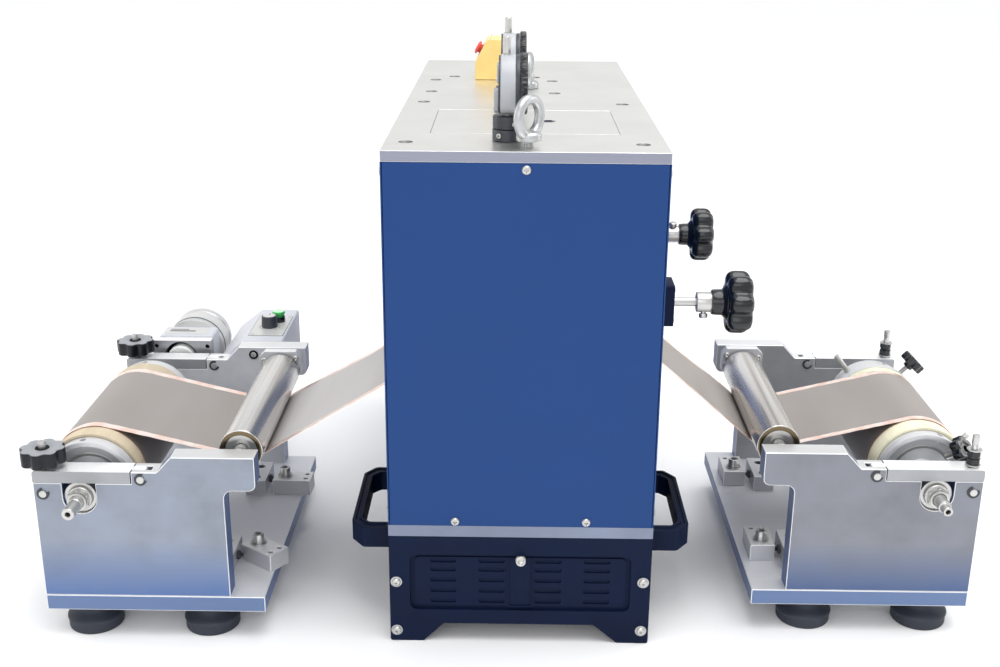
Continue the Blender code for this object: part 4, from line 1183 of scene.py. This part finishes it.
def roller_mount(stand, tag, near, far):
    is_near = tag == "near"
    face, axis = (far, "y") if is_near else (near, "-y")
    if not is_near:
        outline = fillet([(GUIDE_U + u, GUIDE_Z + z) for u, z in FLANGE], 1.0, 3)
        stand.piece("roller_flange", stand.slab(outline, 276, 287), BLOCKS, bevel=0.9,
                    lit_bevels=True)
        axle = rod(7, 286.5, 342.4, stand.at(GUIDE_U, 0, GUIDE_Z - 4), "y", 48, 0.3)
        stand.piece("roller_axle", axle, TURNED)
        screws = [socket_screw(stand.at(GUIDE_U + u, 276, GUIDE_Z + z), "-y", 3.4, 2.6, 1.8, 28)
                  for u, z in ((19.6, 17.0), (20.6, 4.0), (-20, 14))]
        stand.piece("roller_flange_screws", screws, BRIGHT)
        if stand.name == "rewind":
            boss = stand.at(166, face, 205)
            stand.piece("plate_boss", tube(3.6, 6.0, 0, 0.9, boss, "-y", 40, 0.2), NEAR_BLACK_AND_SHADE)
            screw = turned([(0, -1), (3.5, -1), (3.5, 1.1), (0, 1.4)], boss, "-y", 40, 0.3)
            stand.piece("plate_boss_screw", screw, BRIGHT)
    stub = rod(7.5, 0, 16, stand.at(GUIDE_U, face if is_near else 276, GUIDE_Z), axis, 48, 0.4)
    stand.piece("guide_stub_" + tag, stub, TURNED)
    spots = ([(166, 205)] if is_near else []) + [(30, 90), (170, 90)]
    screws = [socket_screw(stand.at(u, face, z), axis, 4.0, 1.2, 2.4, 28) for u, z in spots]
    stand.piece("plate_screws_" + tag, screws, GUN)


SHAFT_ENDS = {                                      # (radius, y) outside the near arm
    "rewind": [(0, -33.5), (2.2, -34.6), (3.0, -38), (6.0, -38), (6.6, -37.2), (6.6, -17),
               (7.5, -16)],
    "unwind": [(0, -33.5), (2.0, -34.6), (2.8, -38), (4.6, -38), (5.2, -37.0), (5.2, -28),
               (6.9, -27), (6.9, -10), (7.5, -9)]}
COLLAR_HOLES = {"rewind": (97, 217, 337), "unwind": (70, 190, 310)}     # degrees


def reel_shaft(stand, near, far):
    centre = stand.at(REEL_U, 0, REEL_Z)
    shaft = SHAFT_ENDS[stand.name] + [(7.5, near + 2), (14, near + 3), (14, far - 3),
                                      (7.5, far - 2), (7.5, 367), (0, 367)]
    stand.piece("reel_shaft", turned(shaft, centre, "y", 64, 0.4), BRIGHT, "reel", "shaft")
    # painted shade: a dark disc inside the shaft's centre hole
    stand.piece("centre_hole_shade", rod(2.4, -36.4, -35.6, centre, "y", 32, 0.1), NEAR_BLACK_AND_SHADE, "reel")
    ring = [(7.6, 0), (12.5, 0), (13.2, 1), (13.2, 3.2), (12.5, 4.0), (7.6, 4.0)]
    nuts = [turned(ring, stand.at(REEL_U, -1.2, REEL_Z), "y", 64, 0.4, closed=True),
            hex_nut(stand.at(REEL_U, -7.0, REEL_Z), "y", 12.0, 6.0, 7.6),
            tube(7.6, 10.2, 0, 3.0, stand.at(REEL_U, -10.5, REEL_Z), "y", 64, 0.5)]
    stand.piece("shaft_nuts", nuts, BRIGHT, "reel")
    races = [tube(7.6, 9.3, 0, 18.4, stand.at(REEL_U, y + 2.8, REEL_Z), "y", 64, 0.4)
             for y in (0, STAND_DEPTH - ARM_WIDTH)]
    stand.piece("inner_races", races, TURNED, "reel")


def reel_collar(stand, tag, outer, inner, out, axis):
    """a dished collar; outer and inner are the y of its two faces"""
    profile = [(7.7, outer), (17, outer), (18, outer - out * 3.5), (30, outer - out * 6.0),
               (34, outer - out * 6.0), (41, outer - out * 4.0), (42.5, outer), (48.2, outer),
               (48.2, inner), (7.7, inner)]
    disc = turned(profile, stand.at(REEL_U, 0, REEL_Z), "y", 128, 0.8, closed=True)
    drills = []
    for a in map(math.radians, COLLAR_HOLES[stand.name]):
        spot = stand.at(REEL_U, outer - out * 7.0, REEL_Z)
        drills.append(drill(3.4, 40, 52, spot, (math.cos(a), 0, math.sin(a)), 28))
    stand.piece("collar_" + tag, cut(disc, *drills), COLLAR, "reel", angle=40)
    hub = turned([(7.7, 0), (15, 0), (16, 2), (16, 6.4), (7.7, 6.4)],
                 stand.at(REEL_U, outer, REEL_Z), axis, closed=True)
    stand.piece("collar_hub_" + tag, hub, SATIN, "reel")
    ring = tube(30.5, 33.5, 0, 1.2, stand.at(REEL_U, outer - out * 6.2, REEL_Z), axis, 96, 0.3)
    stand.piece("collar_ring_" + tag, ring, BRIGHT, "reel")


def reel(stand):
    collar0, core0, foil0, foil1, core1, collar1 = REEL_STATIONS[stand.name]
    centre = stand.at(REEL_U, 0, REEL_Z)
    reel_shaft(stand, collar0, collar1)
    reel_collar(stand, "near", collar0, core0 + 13.5, -1, "-y")
    reel_collar(stand, "far", collar1, core1 - 13.5, 1, "y")
    stand.piece("core_tube", tube(48.5, 51.7, core0, core1, centre, "y", 144, 0.8),
                CORES[stand.name], "reel", "core", angle=40)
    if stand.name == "unwind":
        lip = tube(51.75, 52.2, 254, 266, centre, "y", 144, 0.15)
        stand.piece("core_lip", lip, COLLAR, "reel", angle=40)
    # both sides of the wound foil step in and out by layers
    profile = [(51.6, foil0 + 0.6)]
    for k in range(4):
        y = foil0 + 0.6 - 0.25 * (k % 2)
        profile += [(51.72 + 0.16 * k, y), (51.86 + 0.16 * k, y)]
    profile += [(FOIL_RADIUS, foil0 + 1.0), (FOIL_RADIUS, foil1 - 0.4)]
    for k in range(3, -1, -1):
        y = foil1 - 0.2 + 0.25 * (k % 2)
        profile += [(51.86 + 0.16 * k, y), (51.72 + 0.16 * k, y)]
    stand.piece("wound_foil", lathe(profile, place(centre, "y"), 144, True), WOUND, "reel",
                angle=40)


def guide_roller(stand):
    centre = stand.at(GUIDE_U, 0, GUIDE_Z)
    radius = GUIDE_RADIUS
    profile = [(19.2, 35.4), (22.8, 35.4), (radius, 36.2), (radius, 271.2), (22.8, 272),
               (19.2, 272), (19.2, 256), (16, 255), (16, 53), (19.2, 52)]
    stand.piece("roller_tube", turned(profile, centre, "y", 112, 0.5, closed=True), CHROME,
                "guide", "guide_roller", angle=40)
    rings = [tube(17.6, 22.4, y0, y1, centre, "y", 96, 0.4)
             for y0, y1 in ((35.0, 37.0), (270.5, 272.4))]
    stand.piece("roller_rings", rings, BRONZE, "guide")
    bearings = [tube(7.7, 17.8, y0, y1, centre, "y", 80) for y0, y1 in ((37.5, 46), (262, 270))]
    stand.piece("roller_bearings", bearings, BRIGHT, "guide")


def stop_blocks(stand):
    stops, screws = [], []
    for y in (46.0, 246.0):
        block = stand.box(166, 192, y, y + 58, BASE_TOP, 71)
        sinks = [drill(5.4, -5, 2, stand.at(179, y + along, 71)) for along in (12, 44)]
        stops.append(cut(block, *sinks))
        screws += [socket_screw(stand.at(179, y + along, 66.2), "z", 4.6, 3.6, 2.6, 28)
                   for along in (12, 44)]
        length = 9.0 if stand.name == "rewind" and y < 100 else 11.5
        screws += [hex_nut(stand.at(192, y + 29, 61), stand.inward_axis, 5.2, 3.4, 2.6, 36),
                   threaded(stand.at(190, y + 29, 61), stand.inward_axis, 2.6, length, 1.0,
                            24, 0.6)]
    stand.piece("stop_blocks", stops, BLOCKS, bevel=0.7, lit_bevels=True)
    stand.piece("stop_screws", screws, GUN)


def build_stand(stand):
    stand_base(stand)
    for tag, near in (("near", 0.0), ("far", STAND_DEPTH - ARM_WIDTH)):
        far = near + ARM_WIDTH
        arm_plate(stand, tag, near, far)
        swing_bolt(stand, tag, (near + far) / 2)
        roller_mount(stand, tag, near, far)
    reel(stand)
    guide_roller(stand)
    stop_blocks(stand)


SWIVEL_BLOCKS = (                                   # name, pivot x, pivot y, degrees
    ("rewind_block_near", -297.0, 85.0, -37.0), ("rewind_block_far", -297.0, 262.0, -2.0),
    ("unwind_block_near", 277.5, 108.0, 90.0), ("unwind_block_far", 277.5, 304.0, 90.0))


def swivel_block(name, x, y, angle):
    pivot = Vector((x, y, 0))
    block = cut(box(x - 14, x + 34, y - 14, y + 14, 51.3, 71.3), drill(4.5, 45, 80, pivot),
                *[drill(2.7, 58, 80, (x + 27, y + offset, 0), "z", 28)
                  for offset in (-6.5, 6.5)])
    block.transform(Matrix.Translation(pivot) @ Matrix.Rotation(math.radians(angle), 4, "Z")
                    @ Matrix.Translation(-pivot))
    piece(name + "_body", block, BLOCKS, name, name, bevel=0.8, segments=3, lit_bevels=True)
    washers = [washer((x, y, 71.4), "z", 9.2, 4.4, 1.5), washer((x, y, 73.0), "z", 7.4, 4.4, 2.0)]
    piece(name + "_washers", washers, TURNED)
    piece(name + "_capscrew", socket_screw((x, y, 75.0), "z", 6.5, 8.2, 3.8), BRIGHT)
    piece(name + "_capshank", rod(4.0, 45, 75.2, pivot, "z", 32, 0.2), TURNED)


# ---------------------------------------------------------------- rewind drive and controls
def motor_mount():
    hole_xs = (-481.3, -413.9)
    mount = slab(rect(-486.5, -409, 51.3, 211, [0, 0, 2, 2], 3), 376, 389.7)
    mount = cut(mount, drill(21.8, -12, 30, (-449.5, 372, 187.5), "y", 64),
                *[drill(2.9, -5, 9, (x, 376, 203.6), "y", 24) for x in hole_xs])
    piece("motor_mount_plate", mount, BARS, bevel=0.8, segments=3, lit_bevels=True)
    # painted shade: dark tubes inside the two holes
    hole_shades = [tube(2.4, 2.88, 0.3, 8.5, (x, 376, 203.6), "y", 24, 0.05) for x in hole_xs]
    piece("motor_mount_hole_shade", hole_shades, NEAR_BLACK_AND_SHADE)
    spacers = [rod(6, 366.1, 376.3, (x, 0, z), "y", 40, 0.4)
               for x in (-478, -418) for z in (72, 130)]
    piece("motor_mount_spacers", spacers, TURNED)


def rewind_motor():
    gearbox = slab(rect(-481, -409, 150, 214, 5, 6), 389.5, 424.5)
    piece("motor_gearbox", gearbox, GREY, replaces="rewind_gearmotor", bevel=1.2, segments=3)
    piece("motor_gearbox_face", slab(rect(-476, -414, 155, 209), 388.9, 389.6), NEAR_BLACK_AND_SHADE)
    piece("motor_rating_plate", box(-474, -420, 395, 419, 214.0, 214.5), LABEL, bevel=0.2,
          segments=1)
    bars = [box(-470, -436, 404, 408, 214.45, 214.6), box(-470, -446, 411, 413.5, 214.45, 214.6)]
    piece("motor_rating_bars", bars, DARK_GREY)
    centre = (-444, 0, 184)
    can = [(0, 424), (40, 424), (40, 428), (39.2, 429), (39.2, 464), (40, 465), (40, 476),
           (38.6, 480.6), (34, 482), (0, 482)]
    piece("motor_can", turned(can, centre, "y", 112, 0.8), CAN, angle=40)
    bands = [tube(38.8, 39.7, y, y + 1.6, centre, "y", 96, 0.2) for y in (436, 466.5, 473)]
    piece("motor_can_bands", bands, DARK_GREY)
    label = [(39.25, 439), (39.45, 439), (39.45, 462), (39.25, 462)]
    piece("motor_can_label", lathe(label, place(centre, "y"), 96, True), LABEL)
    output = (-449, 0, 186.5)
    disc = [(0, 371), (16.6, 371), (18, 372.6), (18, 376), (16.4, 377), (16.4, 379), (18, 380),
            (18, 390), (0, 390)]
    piece("motor_output_disc", turned(disc, output, "y", 96, 0.5), WHITE, angle=40)
    piece("motor_output_bore", rod(7.5, 370.4, 371.2, output, "y", 48, 0.2), TURNED)


SPEED_KNOB = (-339.5, 424, 0)
RUN_BUTTON = (-331, 447, 0)


def control_box():
    outline = [(-396, 150), (-312.5, 150), (-312.5, 215.5), (-364, 215.5), (-396, 190)]
    case = cut(slab(fillet(outline, [1, 1, 3.0, 2.0, 2.0], 4), 366.3, 500),
               drill(4.6, 209, 240, SPEED_KNOB), drill(7.4, 209, 240, RUN_BUTTON, "z", 40))
    piece("control_box_case", case, GREY, replaces="control_box", bevel=1.2, segments=3)
    label = cut(extrude(rect(-361, -316, 387, 470, 2, 4), 215.5, 216.0),
                drill(4.8, 210, 240, SPEED_KNOB), drill(8.7, 210, 240, RUN_BUTTON, "z", 40))
    piece("control_label", label, LABEL)
    rim = cut(extrude(rect(-361.6, -315.4, 386.4, 470.6, 2.4, 4), 215.4, 215.8),
              extrude(rect(-360.8, -316.2, 387.2, 469.8, 2, 4), 215.0, 217))
    piece("control_label_rim", rim, DARK_GREY)
    ticks = [extrude(rect(12.4, 14.6, -0.3, 0.3), 216.0, 216.12,
                     place(SPEED_KNOB, twist=27 * i - 45)) for i in range(11)]
    piece("speed_scale", ticks, NEAR_BLACK_AND_SHADE)
    screws = [button_screw((x, y, 216.0), "z", 2.2, 1.1, 0.8, 24)
              for x in (-357, -320) for y in (391, 466)]
    piece("control_box_screws", screws, BRIGHT)


def speed_knob():
    sides = 96

    def fluted(radius, z):
        return polar_ring(lambda a: radius - 0.35 * (0.5 + 0.5 * math.cos(24 * a)), sides, z)

    rings = [circle(4.0, sides, 210.5), circle(4.0, sides, 216.2), fluted(10.8, 216.2),
             fluted(10.8, 217.6), fluted(10.3, 230.0), circle(9.8, sides, 231.2),
             circle(9.0, sides, 231.6), circle(0.5, sides, 231.6)]
    piece("speed_knob_grip", loft(rings, place(SPEED_KNOB)), GUN, "speed_knob", "speed_knob",
          angle=40)
    piece("speed_knob_cap", rod(8.4, 231.4, 232.0, SPEED_KNOB, "z", 64, 0.2), LABEL,
          "speed_knob")
    pointer = extrude(rect(3, 8.0, -0.5, 0.5), 231.9, 232.12, place(SPEED_KNOB, twist=90))
    piece("speed_knob_pointer", pointer, NEAR_BLACK_AND_SHADE, "speed_knob")


def run_button():
    piece("run_button_sleeve", tube(7.3, 8.4, 215.4, 223.4, RUN_BUTTON, "z", 64, 0.3), GLOSS)
    cap = [(0, 212.8), (6.8, 212.8), (6.8, 226.6), (8.4, 226.6), (8.7, 229.8), (7.9, 231.1),
           (0, 231.5)]
    piece("run_button_cap", turned(cap, RUN_BUTTON, "z", 64, 0.4), GREEN, "run_button",
          "run_button", angle=40)


# ---------------------------------------------------------------- unwind collar locks and pins
UNWIND_LOCKS = (                    # tag, star centre, direction, stem reach, hub radius, hub end
    ("near", (480.0, 72.0, 202.0), (0.61, -0.51, 0.61), 20.5, 5.6, -8.0),
    ("far", (494.2, 308.0, 217.2), (1.0, 0.0, 1.0), 23.5, 6.6, -9.5))


def unwind_lock(tag, seat, direction, reach, hub_radius, hub_end):
    aim = Vector(direction).normalized()
    name = "unwind_lock_" + tag
    star = star_knob(seat, aim, 15.8, 12.6, 6, -5.5, 5.5, ease=2.0, dish=0.8, bore=2.0,
                     sides=120, twist=10)
    piece(name + "_star", star, GLOSS, "unwind_reel", name, angle=60)
    hub = [(0, hub_end), (hub_radius * 0.9, hub_end), (hub_radius, -5.0), (0, -5.0)]
    piece(name + "_hub", turned(hub, seat, aim, 48, 0.4), GLOSS, "unwind_reel")
    stem = threaded(Vector(seat) - aim * reach, aim, 3.4, reach - 5.5, 1.0, 28, 0.5)
    piece(name + "_stem", stem, BRIGHT, "unwind_reel")


def collar_pins():
    pins = []
    for angle, y, reach in ((129.0, 308.0, 74.0), (45.0, 89.0, 66.0)):
        cosine, sine = math.cos(math.radians(angle)), math.sin(math.radians(angle))
        root = (REEL_X["unwind"] + 44.0 * cosine, y, REEL_Z + 44.0 * sine)
        pins.append(rod(3.5, 0, reach - 44.0, root, (cosine, 0, sine), 40, 0.7))
    piece("unwind_collar_pins", pins, BRIGHT, "unwind_reel")


# ---------------------------------------------------------------- foil web
FOIL_THICK = 0.3
FOIL_LIFT = 0.25 + FOIL_THICK / 2                   # from a roller's surface to mid foil
WEB_STATIONS = (                                    # x, y of near edge, y of far edge
    (-464, 70, 246), (-299, 66, 240), (-150, 65, 218),
    (150, 119, 246), (279, 109, 261), (444, 117, 268))
WEB_ACROSS = 26


def tangent(first, second):
    """slope angle and end points of the run between two wraps"""
    (x1, z1), radius1, side1 = first
    (x2, z2), radius2, side2 = second
    across, up = x2 - x1, z2 - z1
    slope = math.atan2(up, across) - math.asin(
        (side1 * radius1 - side2 * radius2) / math.hypot(across, up))
    nx, nz = -math.sin(slope), math.cos(slope)
    return (slope, (x1 + side1 * radius1 * nx, z1 + side1 * radius1 * nz),
            (x2 + side2 * radius2 * nx, z2 + side2 * radius2 * nz))


def web_path():
    """(x, z, slope) along the foil from the rewind reel to the unwind reel"""
    reel_wrap, guide_wrap = FOIL_RADIUS + FOIL_LIFT, GUIDE_RADIUS + FOIL_LIFT
    wraps = [                                       # centre, radius, +1 over or -1 under
        ((REEL_X["rewind"], REEL_Z), reel_wrap, 1), ((GUIDE_X["rewind"], GUIDE_Z), guide_wrap, -1),
        ((0, ROLL_Z), 50.45, 1), (TURN_BAR[:2], TURN_BAR[2] + 0.45, 1),
        ((GUIDE_X["unwind"], GUIDE_Z), guide_wrap, -1), ((REEL_X["unwind"], REEL_Z), reel_wrap, 1)]
    runs = [tangent(a, b) for a, b in zip(wraps, wraps[1:])]
    slopes = [run[0] for run in runs]
    slopes = [slopes[0] + math.radians(55)] + slopes + [slopes[-1] - math.radians(55)]
    wrap_steps = (28, 16, 16, 16, 16, 28)
    run_steps = (16, 24, 6, 24, 16)
    path = []
    for i, ((x, z), radius, side) in enumerate(wraps):
        for k in range(wrap_steps[i] + 1):
            slope = slopes[i] + (slopes[i + 1] - slopes[i]) * k / wrap_steps[i]
            path.append((x - side * radius * math.sin(slope),
                         z + side * radius * math.cos(slope), slope))
        if i < len(runs):
            slope, (x0, z0), (x1, z1) = runs[i]
            for k in range(1, run_steps[i]):
                t = k / run_steps[i]
                path.append((x0 + (x1 - x0) * t, z0 + (z1 - z0) * t, slope))
    return path


def web_edges(x):
    """near y and width of the web at x"""
    for (x0, near0, far0), (x1, near1, far1) in zip(WEB_STATIONS, WEB_STATIONS[1:]):
        if x <= x1 or x1 == WEB_STATIONS[-1][0]:
            t = min(1.0, max(0.0, (x - x0) / (x1 - x0)))
            if -300 < x0 < 279:
                t = t * t * (3 - 2 * t)     # eased between the two guide rollers
            near = near0 + (near1 - near0) * t
            return near, far0 + (far1 - far0) * t - near


def foil_web():
    build = bmesh.new()
    layer = build.loops.layers.uv.new("web")
    rows = []
    length = 0.0
    path = web_path()
    for k, (x, z, slope) in enumerate(path):
        if k:
            length += math.hypot(x - path[k - 1][0], z - path[k - 1][1])
        near, width = web_edges(x)
        nx, nz = -math.sin(slope), math.cos(slope)
        top, bottom = [], []
        for j in range(WEB_ACROSS + 1):
            u = j / WEB_ACROSS
            edge = (abs(u - 0.5) * 2) ** 8
            wave = (0.10 * edge * math.sin(length * 0.21 + 3 * u)
                    + 0.06 * edge * math.sin(length * 0.57 + 1.3))
            y = near + width * u
            if j in (0, WEB_ACROSS):
                y += (0.25 * math.sin(length * 0.33 + (2 if u > 0.5 else 0))
                      + 0.18 * math.sin(length * 0.9))
            for store, side in ((top, 0.5), (bottom, -0.5)):
                height = side * FOIL_THICK + max(-0.1, wave)
                vert = build.verts.new((x + nx * height, y, z + nz * height))
                store.append((vert, (u, length / 400.0)))
        rows.append((top, bottom))

    def quad(*corners):
        face = build.faces.new([vert for vert, _ in corners])
        for loop, (_, uv) in zip(face.loops, corners):
            loop[layer].uv = uv

    for (top0, low0), (top1, low1) in zip(rows, rows[1:]):
        for j in range(WEB_ACROSS):
            quad(top0[j], top1[j], top1[j + 1], top0[j + 1])
            quad(low0[j], low0[j + 1], low1[j + 1], low1[j])
        quad(top0[0], low0[0], low1[0], top1[0])
        quad(top0[-1], top1[-1], low1[-1], low0[-1])
    for top, low in (rows[0], rows[-1]):
        for j in range(WEB_ACROSS):
            quad(top[j], top[j + 1], low[j + 1], low[j])
    piece("foil_sheet", finish_mesh(build), FOIL, replaces="foil_web", angle=40)


# ---------------------------------------------------------------- stage, light and camera (m)
def add_floor():
    build = bmesh.new()
    bmesh.ops.create_grid(build, x_segments=2, y_segments=2, size=60.0)
    mesh = bpy.data.meshes.new("floor")
    build.to_mesh(mesh)
    build.free()
    floor = bpy.data.objects.new("floor", mesh)
    bpy.context.scene.collection.objects.link(floor)
    surface = Surface("floor_white")
    base = surface.ramp(surface.noise(3.0, detail=2.0),
                        [(0.3, (0.93, 0.93, 0.935)), (0.7, grey(0.95))])
    # the floor glows more with distance from the machine
    distance = surface.node("ShaderNodeVectorMath")
    distance.operation = "LENGTH"
    surface.link(surface.coord.outputs["Object"], distance.inputs[0])
    glow = surface.span(distance.outputs["Value"], 0.9, 3.5, 0.02, 0.16)
    mesh.materials.append(surface.set(Base_Color=base, Roughness=0.75,
                                      Emission_Color=grey(1.0), Emission_Strength=glow))


SKY = [                             # 0 straight down to 1 straight up, colour
    (0.0, grey(0.9)), (0.49, (0.60, 0.58, 0.55)), (0.525, (0.66, 0.64, 0.61)),
    (0.56, grey(0.95)), (0.66, grey(1.0)), (0.78, (0.72, 0.73, 0.75)), (1.0, grey(1.0))]


def add_world():
    world = bpy.data.worlds.new("studio")
    bpy.context.scene.world = world
    world.use_nodes = True
    shader = Shader(world.node_tree)
    height = shader.split(shader.coord.outputs["Generated"])["Z"]
    background = world.node_tree.nodes["Background"]
    shader.link(shader.ramp(shader.span(height, -1.0, 1.0, 0.0, 1.0), SKY),
                background.inputs["Color"])
    background.inputs["Strength"].default_value = 1.0


def area(name, location, target, size, power):
    light = bpy.data.lights.new(name, "AREA")
    light.shape = "RECTANGLE"
    light.size, light.size_y = size
    light.energy = power
    obj = bpy.data.objects.new(name, light)
    bpy.context.scene.collection.objects.link(obj)
    obj.location = location
    aim = Vector(target) - Vector(location)
    obj.rotation_euler = aim.to_track_quat("-Z", "Y").to_euler()


def add_lights():
    area("key", (0.5, -0.4, 2.8), target=(0, 0.0, 0.2), size=(2.6, 2.0), power=60)
    area("fill", (-0.6, -2.8, 1.5), target=(0, 0, 0.3), size=(2.6, 1.4), power=14)
    area("left_strip", (-2.4, 0.3, 1.2), target=(0, 0, 0.3), size=(0.8, 1.8), power=10)
    area("right_strip", (2.4, 0.5, 1.3), target=(0, 0, 0.3), size=(0.6, 1.8), power=10)


CAMERA_SPOT = Vector((-11.3, -1195.9, 767.1))       # layout millimetres
CAMERA_PITCH, CAMERA_YAW, CAMERA_ROLL = map(math.radians, (18.9937, -0.576, 0.445))


def add_camera():
    scene = bpy.context.scene
    sine, cosine = math.sin(CAMERA_PITCH), math.cos(CAMERA_PITCH)
    # world to view, with view axes right, down and forward
    view = (Matrix.Rotation(CAMERA_ROLL, 3, "Z")
            @ Matrix(((1, 0, 0), (0, -sine, -cosine), (0, cosine, -sine)))
            @ Matrix.Rotation(CAMERA_YAW, 3, "Z"))
    camera = bpy.data.cameras.new("camera")
    camera.sensor_width = 36.0
    camera.lens = 45.547848
    camera.clip_start = 0.01
    obj = bpy.data.objects.new("camera", camera)
    scene.collection.objects.link(obj)
    turn = Matrix((view[0], -view[1], -view[2])).transposed().to_4x4()
    obj.matrix_world = Matrix.Translation(CAMERA_SPOT * MILLIMETRE + ORIGIN) @ turn
    scene.camera = obj
    scene.view_settings.view_transform = "Standard"
    scene.view_settings.look = "None"
    scene.view_settings.exposure = 0.0


# ---------------------------------------------------------------- build, in order
base_housing()
louvres()
base_screws()
handles()
cabinet()
mains_inlet()
top_plate()
top_hatch()
rolls()
gap_handwheel("near", 60.0, thumb_side=-1)
gap_handwheel("far", 340.0, thumb_side=1)
lifting_eye("near", 3.0, 24.5, seat=545.0, angle=54.0)
lifting_eye("far", 6.5, 430.0, seat=TOP_Z + 0.3, angle=84.0)
emergency_stop()
for gauge_tag, gauge_y, needle in (("near", 63.0, 72), ("far", 270.0, 80)):
    gauge_mount(gauge_tag, gauge_y)
    gauge_case(gauge_tag, gauge_y)
    gauge_face(gauge_tag, gauge_y, needle)
for stand_name in STANDS:
    build_stand(Stand(stand_name))
for row in SWIVEL_BLOCKS:
    swivel_block(*row)
motor_mount()
rewind_motor()
control_box()
speed_knob()
run_button()
for row in UNWIND_LOCKS:
    unwind_lock(*row)
collar_pins()
foil_web()
add_floor()
add_world()
add_lights()
add_camera()

bpy.context.view_layer.update()
